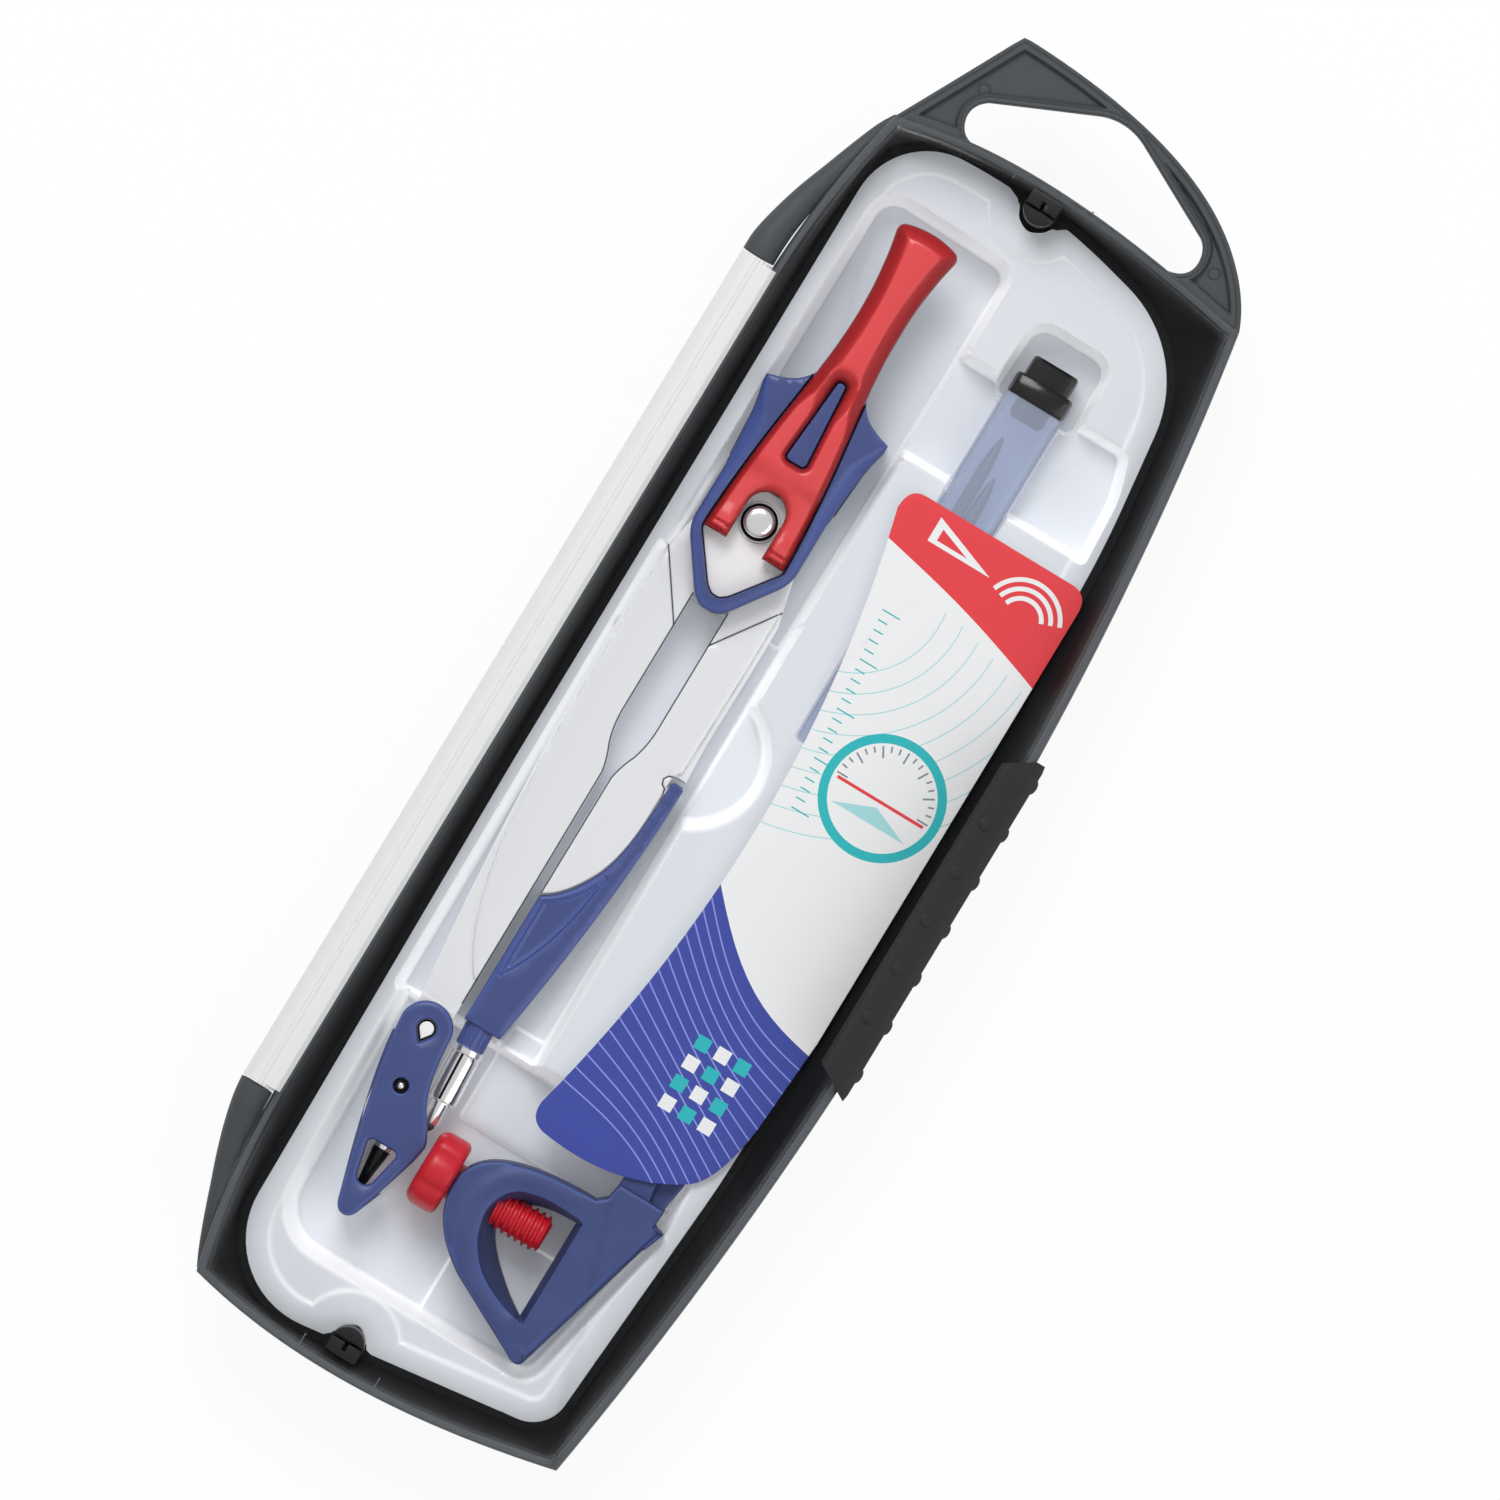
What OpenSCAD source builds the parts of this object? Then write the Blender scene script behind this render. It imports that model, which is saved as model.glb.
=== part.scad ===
// Drafting instrument case: a hinged box on a hang tab, with a formed tray that holds a compass,
// a tube of leads, a pen adaptor and a card. It lies on its back: +Z is towards the lid,
// +Y towards the hang tab, and the hinge is on the left, at -X.

/* [Case body] */
// Distance of the body's left wall from the middle
left_x = 34.1; // [33.6:0.1:35]
// Distance of the body's right wall from the middle, at its widest
right_x = 37.6; // [37:0.1:38.6]
// Distance of the body's head corners from the middle
head_y = 90.6; // [90:0.1:92]
// Distance of the body's foot from the middle, at its lowest
foot_y = 111.1; // [110.4:0.1:114]
// How far the head and foot edges bow out past their corners
end_bow = 4.2; // [3.4:0.1:5]
// Height of the base's rim above its back
base_h = 19; // [18.6:0.1:20]
// Thickness of the base's floor
floor_t = 1.6; // [1.2:0.1:1.8]
// Thickness of the base's wall at the rim
wall_t = 1.3; // [1:0.1:1.8]
// How far the base's sides draw in from the rim to the back
side_draft = 3.6; // [2.5:0.1:4]
// Width of the chamfer round the base's back
back_chamfer = 2; // [1:0.1:2.6]

/* [Hang tab] */
// Distance of the tab's tip from the middle
tab_y = 111.1; // [110:0.1:114]
// Distance of the tab's tip to the left of the middle
tab_tip_x = 19.5; // [17:0.5:22]
// Thickness of the tab at its rim
tab_t = 4.2; // [3:0.1:6]
// Width of the tab's raised rim
tab_rim = 1.4; // [1:0.1:2]
// Depth of the field inside the tab's rim
field_d = 1; // [0.5:0.1:1.5]
// Radius of the two ejector marks
mark_r = 0.8; // [0.5:0.1:1.2]

/* [Hinge] */
// Radius of the hinge barrel
barrel_r = 2.6; // [2.4:0.05:2.8]
// Upper end of the lid's barrel
barrel_top = 62.7; // [60:0.1:65]
// Lower end of the lid's barrel, below the middle
barrel_foot = 79.6; // [76:0.1:82]
// Radius of the stub pins that carry the barrel
stub_r = 1.2; // [0.9:0.05:1.4]
// Length of the stub pins
stub_l = 3; // [2:0.1:4]

/* [Lid and grip] */
// Full height of the closed lid's top face
lid_z = 23.2; // [22.8:0.1:24.5]
// Thickness of the lid
lid_t = 1.2; // [1:0.1:1.5]
// Width of the lid's rounded edge
lid_round = 2.6; // [2:0.1:3]
// Radius of the lid's snap pegs
peg_r = 1.1; // [0.9:0.05:1.3]
// Length of the snap pegs below the lid's rim
peg_l = 2.4; // [2:0.1:3]
// Outer radius of the half-round snap posts
post_r = 2.6; // [2.4:0.1:3]
// Thickness of the grip over the lid's top
grip_t = 0.8; // [0.6:0.1:1.2]
// Upper end of the grip, on its outer side
grip_top = 21.4; // [19:0.1:24]
// Lower end of the grip, below the middle
grip_foot = 37.4; // [35:0.1:40]
// Width of the grip's top face on the lid
grip_w = 5.2; // [4.5:0.1:6]
// How far the grip hangs down outside the base
grip_drop = 10; // [7:0.5:12]
// Distance between the grip's pips
pip_pitch = 8.3; // [7.5:0.1:9]
// Radius of a pip
pip_r = 1.15; // [0.8:0.05:1.4]
// How far the side pips stand out
pip_h = 0.6; // [0.4:0.05:0.8]

/* [Tray] */
// Height of the tray's flange
tray_z = 11.8; // [11.6:0.1:12.4]
// Thickness of the tray's sheet
sheet_t = 0.8; // [0.6:0.1:1]
// Width of the dark band between the left wall and the tray
band_left = 4.6; // [4.4:0.1:5]
// Width of the band on the right
band_right = 6.8; // [6.4:0.1:7.4]
// Width of the band at the head and the foot
band_end = 3.2; // [3:0.1:3.6]
// Width of the ledge that the tray's flange lies on
ledge_w = 1.3; // [1:0.1:1.6]
// Depth of the shallow field inside the flange
shelf_d = 1; // [0.6:0.1:1.4]
// Space left round each instrument in its well
well_gap = 0.9; // [0.7:0.05:1.2]
// Space left under each instrument
seat_gap = 0.3; // [0.2:0.05:0.4]

/* [Compass head] */
// Distance of the compass to the left of the middle
compass_x = 16.3; // [16:0.1:16.6]
// Distance of the rivet from the middle
rivet_y = 29.6; // [29:0.1:30.4]
// Thickness of each head cover over the legs
cover_t = 1; // [0.8:0.1:1.2]
// Thickness of the legs
leg_t = 5.6; // [5.2:0.1:6]
// Half width of the shield
shield_w = 8.8; // [8.6:0.1:9.4]
// Half width across the wings
wing_w = 10.7; // [10:0.1:11]
// Height of the shield's rim over the front cover's floor
rim_d = 3.2; // [3:0.1:3.5]
// Thickness of the pale plate in the shield
plate_t = 0.5; // [0.3:0.05:0.7]
// Radius of the rivet's shank
shank_r = 1.5; // [1.2:0.05:1.8]
// Radius of the rivet's dome
dome_r = 2.75; // [2.5:0.05:2.9]
// Height of the rivet's dome over the plate
dome_h = 2.6; // [2:0.1:3]
// Length of the handle above the rivet
handle_l = 44.5; // [42:0.5:46]

/* [Stop lever] */
// Length of the lever above the rivet
lever_l = 49.7; // [47:0.1:51]
// Half width of the lever's waist
waist_w = 3.5; // [3.3:0.05:4]
// Half width of the lever's foot
fork_w = 6.8; // [6.5:0.05:7]
// Half width of the lever's end
end_w = 5.1; // [4.6:0.05:5.4]
// Radius of the notch round the rivet
notch_r = 3.1; // [3.05:0.01:3.3]
// Radius of the fork's rounded ends
cam_r = 1.8; // [1.7:0.05:2]
// Distance of the fork's pivot below the rivet
pivot_d = 2.7; // [2.5:0.05:3]
// Radius of the fork's stub pins
pin_r = 0.7; // [0.6:0.05:0.8]
// Thickness of the lever's handle
lever_t = 4.6; // [4:0.1:5]

/* [Legs] */
// Radius of the leg hubs
hub_r = 8.6; // [8.2:0.1:8.8]
// Half width of the open gap between the legs
gap_w = 2.9; // [2.5:0.1:3.2]
// Half width of the slot between the closed legs
slot_w = 0.65; // [0.5:0.05:0.8]
// Half width across the closed legs at their widest
legs_w = 10.4; // [10.2:0.05:10.6]
// Length of a leg from the rivet to the guard
leg_l = 86; // [84:0.5:88]
// Depth of the step round a leg's raised face
face_d = 1; // [0.6:0.1:1.4]
// Radius of the lead arm's pivot boss
boss_r = 1.7; // [1.6:0.05:1.8]
// Radius of the lead arm's pivot pin
arm_pin_r = 0.7; // [0.5:0.05:0.8]
// Length of the lead arm from its pivot
arm_l = 44.5; // [43:0.5:45]
// Radius of the collet at its neck
collet_r = 2.15; // [2:0.05:2.3]
// Length of the collet
collet_l = 8.8; // [8:0.1:9]
// Radius of the compass lead
lead_r = 1; // [0.9:0.05:1.1]

/* [Needle guard] */
// Radius of the guard's round end
guard_r = 4.1; // [4:0.05:4.3]
// Length of the guard from its rivet to its tip
guard_l = 30; // [29:0.1:30.5]
// Thickness of the guard's front wall
guard_t = 1.6; // [1.3:0.1:1.9]
// Radius of the guard's rivet
guard_rivet_r = 1.1; // [0.9:0.05:1.3]
// Radius of the needle's holder
holder_r = 1.6; // [1.4:0.05:1.8]
// Radius of the needle
needle_r = 0.5; // [0.4:0.05:0.6]

/* [Lead tube] */
// Distance of the tube to the right of the middle
tube_x = 9.65; // [9.4:0.05:10]
// Distance of the tube's mouth from the middle
tube_y = 65.5; // [65:0.1:66]
// Width of the tube
tube_w = 9.5; // [9.2:0.1:9.8]
// Height of the tube
tube_h = 9; // [8.6:0.1:9]
// Length of the tube
tube_l = 60; // [56:0.5:62]
// Wall of the tube
tube_t = 0.7; // [0.6:0.05:0.9]
// Length of the cap's wide step
cap_l = 3.1; // [2.6:0.1:3.4]
// Length of the cap's narrow step
cap_step = 3.6; // [3:0.1:3.8]
// Length of the cap's plug in the tube
plug_l = 2.9; // [2.5:0.1:3.4]

/* [Pen adaptor] */
// Distance of the thumbscrew's axis below the middle
screw_y = 77.5; // [77:0.1:78]
// Distance of the adaptor's nose to the left of the middle
nose_x = 4.4; // [4.2:0.1:4.6]
// Thickness of the adaptor's frame
frame_t = 10; // [9:0.1:10.4]
// Thickness of the adaptor's stem
stem_t = 5; // [4:0.1:5.6]
// Length of the stem above the frame
stem_l = 25; // [22:0.5:28]
// Radius of the thumbscrew's knob
knob_r = 6.3; // [6:0.05:6.4]
// Width of the knob
knob_w = 5.4; // [4.8:0.1:5.6]
// Outer radius of the thread
screw_r = 2.95; // [2.8:0.05:3.1]
// Pitch of the thread
pitch = 1.1; // [1:0.05:1.25]
// Length of the screw beyond the knob
screw_l = 16.2; // [15:0.1:16.8]

/* [Card] */
// Thickness of the card
card_t = 0.5; // [0.3:0.05:0.6]
// Distance of the card's top edge from the middle
card_top = 45.7; // [44:0.1:46.5]
// Distance of the card's right edge from the middle
card_right = 31.1; // [30.4:0.1:31.2]

/* [Hidden] */
$fn = 40;
eps = 0.01;
run_gap = 0.3;       // between pieces that pass each other
pin_gap = 0.05;      // round a pin in its bore
hull_fn = 32;

// Places that follow from the sizes above
hinge = [-left_x - barrel_r, base_h + 0.2];          // x and z of the hinge axis
tray_left = left_x - band_left;
tray_right = right_x - band_right;
ledge_z = tray_z - sheet_t;
post_x = -4.6;
post_head = [post_x, head_y + 0.1];
post_foot = [post_x - 0.9, -foot_y + 5.1];
compass = [-compass_x, rivet_y];
back_z = floor_t + sheet_t + 0.5;                    // back of the compass head
legs_z = back_z + cover_t + 0.1;                     // back of the legs
front_z = legs_z + leg_t + 0.1;                      // back of the front cover
channel_z = front_z + 1.4;                           // floor of the channel in the front cover
shield_z = channel_z + rim_d;                        // top of the shield's rim
plate_z = channel_z + plate_t;
pivot = [-pivot_d, plate_z + cam_r + 0.2];           // y and z of the fork's pivot
guard_p = compass + [-3.5, -leg_l - 3.8];                   // the guard's rivet
guard_z = legs_z + 0.9;                              // back of the guard
guard_top = legs_z + leg_t + run_gap + guard_t;
needle_x = compass.x + 0.2;
needle_z = guard_z + 2.2;
arm_p = compass + [9.2, -41.2];                      // the lead arm's pivot
collet_p = compass + [3.35, -arm_l - 41.2];          // where the collet leaves the arm
collet_a = 3.2;                                      // its lean, in degrees
collet_z = legs_z + leg_t / 2;
neck_l = 3.7;
screw_z = floor_t + sheet_t + 0.6 + knob_r;
frame_z = screw_z - frame_t / 2;
tube_z = floor_t + sheet_t + 0.5;
card_z = tray_z + seat_gap;
blue = "#4a5a8f";
red = "#e2484b";
silver = "#d8d9dc";
steel = "#c8cacc";
dark = "#45494d";

// Quadratic curve from p to q, pulled towards c, without its last point
function bend(p, c, q, n = 10) =
    [for (i = [0 : n - 1]) let (t = i / n) (1 - t) * (1 - t) * p + 2 * t * (1 - t) * c + t * t * q];
function unit(v) = v / norm(v);
// Arc of radius r in the corner p between its neighbours a and b
function corner(p, a, b, r, n) = let (
        u = unit(a - p), w = unit(b - p), half = acos(u * w) / 2,
        c = p + unit(u + w) * r / sin(half), s = p + u * r / tan(half) - c, e = p + w * r / tan(half) - c,
        a0 = atan2(s.y, s.x), turn = atan2(e.y, e.x) - a0, d = turn > 180 ? turn - 360 : turn < -180 ? turn + 360 : turn)
    [for (i = [0 : n]) c + r * [cos(a0 + d * i / n), sin(a0 + d * i / n)]];
// Outline through points [x, y, radius], each corner rounded to its radius
function rounded(pts, n = 6) = let (k = len(pts), xy = [for (p = pts) [p.x, p.y]])
    [for (i = [0 : k - 1]) each pts[i].z == 0 ? [xy[i]]
        : corner(xy[i], xy[(i + k - 1) % k], xy[(i + 1) % k], pts[i].z, n)];
// Closed outline from its right half, listed upwards
function both(half) = concat(half, [for (i = [len(half) - 1 : -1 : 0]) [-half[i].x, half[i].y]]);
function flip_x(pts) = [for (i = [len(pts) - 1 : -1 : 0]) [-pts[i].x, pts[i].y]];

module slab(z0, z1, pts) translate([0, 0, z0]) linear_extrude(z1 - z0) polygon(pts);

// ---- Outlines of the case ----
foot_left = [-left_x + 4, -foot_y + end_bow - 1.3];
foot_right = [right_x - 6.9, -foot_y + end_bow + 0.9];
head_right = [right_x - 7.7, head_y - 0.5];
head_left = [-left_x + 3.9, head_y + 0.6];
body = concat(
    bend(foot_left, [post_x, -foot_y - 3.4], foot_right, 14),
    bend(foot_right, [right_x + 0.4, -58], [right_x, -8], 12),
    bend([right_x, -8], [right_x + 0.6, 42], head_right, 12),
    bend(head_right, [post_x * 2, head_y + end_bow + 3.3], head_left, 14),
    bend(head_left, [-left_x + 0.2, head_y - 14], [-left_x, barrel_top - 2], 8),
    bend([-left_x, -barrel_foot + 2], [-left_x + 0.1, -foot_y + 17], foot_left, 8));
tab = concat(
    bend(head_left, [-left_x + 8.6, head_y + 9.5], [-tab_tip_x - 0.7, tab_y - 0.7], 8),
    [[-tab_tip_x - 0.3, tab_y - 0.1], [-tab_tip_x + 0.7, tab_y]],
    bend([-tab_tip_x + 1.8, tab_y], [12, tab_y - 0.8], [right_x - 13.6, tab_y - 12.5], 12),
    bend([right_x - 13.6, tab_y - 12.5], [right_x - 9.4, tab_y - 16.5], head_right, 6),
    [head_right, [head_right.x - 3, head_y - 3], [head_left.x + 3, head_y - 3]]);
hang_hole = concat(
    bend([-18, head_y + 3], [post_x, head_y + 4.8], [16, head_y + 1.9], 8),
    bend([16, head_y + 1.9], [19.4, head_y + 2.4], [19.4, head_y + 5.4], 4),
    bend([19.4, head_y + 5.4], [19.3, head_y + 7.9], [17.4, tab_y - 11.6], 4),
    bend([4, tab_y - 4.7], [0, tab_y - 2.5], [-4, tab_y - 4], 6),
    bend([-4, tab_y - 4], [-12, tab_y - 7.6], [-19.3, tab_y - 10.9], 2),
    bend([-19.3, tab_y - 10.9], [-21.2, tab_y - 12.2], [-21.1, head_y + 6.3], 4),
    bend([-21.1, head_y + 6.3], [-20.7, head_y + 3.2], [-18, head_y + 3], 4));
tray_rim = rounded([
    [-tray_left + 1.1, -foot_y + 1.4, 14], [tray_right - 4, -foot_y + band_end + 5.6, 6],
    [tray_right - 1, -58, 150], [tray_right + 0.1, 0, 300], [tray_right - 1, 52, 150],
    [tray_right - 5, head_y - band_end - 2.7, 20], [post_x, head_y - band_end + 4.8, 90],
    [-tray_left, head_y - band_end + 3.5, 12], [-tray_left, -20, 300]], 8);

// ---- Outlines of the instruments ----
// The compass outlines stand at the rivet, legs down; the others stand in the case
shield = both(concat(
    [[0, -15.1]], bend([0.6, -15.1], [2.3, -14.9], [3.8, -12.6], 4),
    bend([shield_w - 1.3, -7.4], [shield_w, -5.6], [shield_w, -3.4], 4),
    [[shield_w, 4.8], [shield_w + 0.4, 5.6]],
    bend([shield_w + 0.4, 6.4], [shield_w + 0.2, 13], [wing_w, 19.2], 6),
    [[wing_w - 0.2, 19.4]], bend([wing_w - 1, 19.7], [4.8, 20.9], [4, 24.5], 6), [[3.8, 27]]));
plate = both([[0, -12.6], [0.9, -12.5], [1.9, -11.6], [fork_w, -5], [fork_w + 0.25, -4.2],
    [fork_w + 0.25, 4.6]]);
lever = both(concat(
    [[notch_r, -pivot_d - cam_r], [fork_w, -pivot_d - cam_r]],
    bend([fork_w, -3], [5.85, 8], [waist_w + 1.2, 17.4], 6),
    bend([waist_w + 1.2, 17.4], [waist_w, 24.4], [waist_w, 30.4], 6),
    bend([waist_w, 30.4], [waist_w + 0.5, 38.5], [end_w, lever_l - 1.6], 7),
    bend([end_w, lever_l - 1.6], [end_w - 0.1, lever_l - 0.3], [end_w - 1.2, lever_l - 0.25], 3),
    [[end_w - 2, lever_l - 0.1], [0, lever_l]]));
lever_slot = rounded([[-1.9, 9.9, 0.8], [1.9, 9.9, 0.8], [0.8, 24, 0.7], [-0.8, 24, 0.7]], 4);
leg_inner = concat(     // edge towards the other leg, downwards
    bend([-gap_w, -34], [-gap_w, -37], [-2, -39.6], 4), bend([-2, -39.6], [-0.9, -42], [-slot_w, -44.2], 4));
leg_outer = concat(     // left leg's outer edge, upwards
    bend([-6.7, -leg_l], [-legs_w + 0.5, -58], [-legs_w, -32], 10),
    bend([-legs_w, -32], [-legs_w - 0.1, -20], [-legs_w + 0.9, -8], 6));
leg_left = concat([[-gap_w, -7]], leg_inner, [[-slot_w, -44.2], [-slot_w, -leg_l]], leg_outer, [[-7, -3]]);
face_left = concat([[-gap_w - 0.5, -10], [-gap_w - 0.5, -34]], [for (p = leg_inner) p + [-0.5, 0]],
    [[-slot_w - 0.3, -46], [-slot_w - 0.3, -80]],
    bend([-1.5, -79.6], [-6.2, -74], [-8.3, -60], 8),
    bend([-8.3, -60], [-legs_w + 0.75, -48], [-legs_w + 0.7, -32], 5),
    bend([-legs_w + 0.7, -32], [-legs_w + 0.6, -20], [-legs_w + 1.6, -10], 5));
crescent = concat(      // edge between the lead leg and its arm, from the slot outwards
    bend([slot_w, -63.9], [3.6, -62.6], [6.4, -57.2], 6), bend([6.4, -57.2], [8.6, -52.6], [8.6, -44.2], 6));
leg_right = concat([[gap_w, -7], [7, -3]], flip_x(bend([-legs_w, -32], [-legs_w - 0.2, -20], [-legs_w + 0.9, -8], 6)),
    [[legs_w, -32], [legs_w + 0.3, -38.9], [8.6, -38.9]], [for (i = [len(crescent) - 1 : -1 : 0]) crescent[i]],
    [[slot_w, -44.2]], [for (i = [len(leg_inner) - 1 : -1 : 0]) [-leg_inner[i].x, leg_inner[i].y]]);
arm_foot = -arm_l - 41.2;
arm = concat([for (p = crescent) p + [0.1, -run_gap]], [[8.9, -44.2], [8.9, -40], [9.3, -39.6]],
    [[legs_w + 0.2, -39.6], [legs_w + 0.6, -40.1]],
    bend([legs_w + 0.6, -41], [legs_w + 0.2, -62], [6.8, arm_foot], 12), [[6.8, arm_foot], [slot_w, arm_foot]]);
leaf = concat([[1.7, -64.6]], bend([1.7, -64.6], [5.6, -62.4], [7.9, -56.9], 6),
    bend([7.9, -56.9], [7, -69.5], [1.8, -77.4], 8), [[1.8, -77.4]]);
guard = concat(         // from its rivet
    [for (a = [0 : 15 : 180]) guard_r * [cos(a), sin(a)]],
    bend([-guard_r, 0], [-3.3, -9], [1.8, -guard_l + 2.3], 8),
    bend([1.8, -guard_l + 2.3], [2.3, -guard_l], [3.8, -guard_l], 4),
    bend([3.8, -guard_l], [5.2, -guard_l], [5.8, -guard_l + 2.3], 4),
    bend([5.8, -guard_l + 2.3], [7.6, -22], [9.1, -16.6], 4), [[9.2, -15.4]],
    bend([9, -14.6], [8.2, -12.8], [7.1, -11.3], 4), bend([7.1, -11.3], [4.6, -8.2], [guard_r, 0], 6));
guard_window = rounded([[1.2, -18.1, 0.7], [6.3, -18.1, 0.7], [4.9, -24.5, 1.1], [2.7, -24.5, 1.1]], 4);
card = concat(
    bend([3, -64.3], [16, -66.2], [25.4, -59.9], 8),
    bend([25.4, -59.9], [29.2, -57.4], [card_right - 0.8, -46], 6), [[card_right, -32]],
    bend([card_right, card_top - 3.2], [card_right, card_top], [card_right - 3.2, card_top], 5),
    bend([3, card_top], [0, card_top], [0.1, card_top - 3.6], 5),
    bend([0.1, card_top - 3.6], [13.3, -8], [0.6, -60.6], 16), bend([0.6, -60.6], [0.3, -63.6], [3, -64.3], 4));
adaptor = concat(
    bend([-nose_x, -screw_y], [-nose_x - 0.1, -84.4], [4, -89.4], 8), [[15.7, -95.3]],
    bend([16.2, -95.6], [17.8, -96.3], [18.4, -95], 4), [[24.9, -71.4], [26, -68]],
    [[24.4, -67.9], [24.6, -65], [16.9, -65], [16.4, -67.6]],
    bend([15, -68.8], [-nose_x + 0.1, -68.8], [-nose_x, -screw_y], 10));
window = concat(
    bend([14.3, -89.6], [7.5, -86.5], [3.2, -80.4], 6), bend([3.2, -80.4], [2.3, -78.5], [3.2, -76.6], 3),
    bend([3.2, -76.6], [5.5, -73.3], [14.3, -73.3], 6), [[14.3, -73.3]]);
stem = [[17, -68], [24.6, -68], [24.2, -66 + stem_l * 0.5], [23.2, -66 + stem_l], [19.4, -66 + stem_l],
    [18.2, -66 + stem_l * 0.5]];

// ---- Case ----
module base_outer() hull() {
    translate([0, 0, base_h - eps]) linear_extrude(eps) polygon(body);
    translate([0, 0, back_chamfer]) linear_extrude(eps) offset(delta = -side_draft) polygon(body);
    linear_extrude(eps) offset(delta = -side_draft - back_chamfer * 0.8) polygon(body);
}
module base_cavity() {
    hull() {
        translate([0, 0, base_h]) linear_extrude(eps) offset(delta = -wall_t) polygon(body);
        translate([0, 0, ledge_z]) linear_extrude(eps) offset(delta = 1) polygon(tray_rim);
    }
    translate([0, 0, floor_t]) linear_extrude(ledge_z) offset(delta = -ledge_w) polygon(tray_rim);
}
// Rounded bulge that ends the hinge at y, s points away from the barrel
module knuckle(y, s, reach) intersection() {
    hull() {
        translate([hinge.x, y, hinge.y]) rotate([-90 * s, 0, 0]) cylinder(r = barrel_r, h = 2.4, $fn = hull_fn);
        translate([hinge.x + 0.5, y + s * 6.2, hinge.y - 0.6]) sphere(barrel_r - 0.3, $fn = 24);
        translate([hinge.x + 1.9, y + s * reach * 0.45, hinge.y - 2]) sphere(barrel_r - 0.8, $fn = 24);
        translate([hinge.x + 5.4, y + s * reach * 0.86, hinge.y - 2.6]) sphere(barrel_r - 1.3, $fn = 24);
        translate([hinge.x + 3.6, y + s * 2, base_h - 12]) sphere(0.8, $fn = 16);
        translate([hinge.x + 7, y + s * reach * 0.8, base_h - 12]) sphere(0.8, $fn = 16);
    }
    union() {       // it stays out of the lid's way above the rim
        translate([-60, -150, 0]) cube([60, 300, base_h]);
        translate([0, 0, base_h - eps]) linear_extrude(9) difference() {
            translate([-60, -150]) square([60, 300]);
            offset(delta = run_gap) polygon(body);
        }
    }
}
module snap_post(at, s) difference() {
    translate([at.x, at.y, ledge_z - 1]) cylinder(r = post_r, h = base_h - ledge_z);
    translate([at.x, at.y, base_h - 2 - peg_l]) cylinder(r = peg_r + 0.45, h = 9);
    for (side = [-1, 1]) translate([at.x + side * 1.9 - 0.25, at.y - s * 4, base_h - 3]) cube([0.5, 4.6, 9]);
}
module base_shell() color(dark) {
    difference() {
        union() {
            difference() {
                base_outer();
                base_cavity();
                // the barrel turns in this cove
                translate([hinge.x, -barrel_foot - run_gap, hinge.y]) rotate([-90, 0, 0])
                    cylinder(r = barrel_r + run_gap, h = barrel_top + barrel_foot + 2 * run_gap);
            }
            knuckle(barrel_top + run_gap, 1, head_y - barrel_top);
            knuckle(-barrel_foot - run_gap, -1, foot_y - barrel_foot - 3);
            difference() {
                slab(base_h - tab_t, base_h, tab);
                linear_extrude(base_h + 1) offset(delta = -wall_t) polygon(body);
                translate([0, 0, base_h - field_d]) linear_extrude(field_d + 1) difference() {
                    offset(delta = -tab_rim) polygon(tab);
                    offset(delta = tab_rim * 0.6) polygon(hang_hole);
                    offset(delta = 0.4) polygon(body);
                }
            }
            intersection() {
                base_outer();
                union() {
                    snap_post(post_head, 1);
                    snap_post(post_foot, -1);
                }
            }
            for (y = [barrel_top + run_gap, -barrel_foot - run_gap])
                translate([hinge.x, y, hinge.y]) rotate([y > 0 ? 90 : -90, 0, 0])
                    cylinder(r = stub_r, h = stub_l + run_gap);
        }
        slab(-1, base_h + 1, hang_hole);
        for (p = [[-21, tab_y - 9.4], [22.2, tab_y - 15.3]])
            translate([p.x, p.y, base_h - field_d - 0.25]) cylinder(r = mark_r, h = 9);
        // slits beside the sprung stretches of wall that carry the posts
        for (x = [-6, 6.4]) translate([post_x + x, head_y - 2, base_h - 2.2]) cube([0.35, 6, 9]);
        for (x = [-4.4, 7.6]) translate([post_x + x, -foot_y - 2, base_h - 2.2]) cube([0.35, 6.4, 9]);
    }
}

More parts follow.
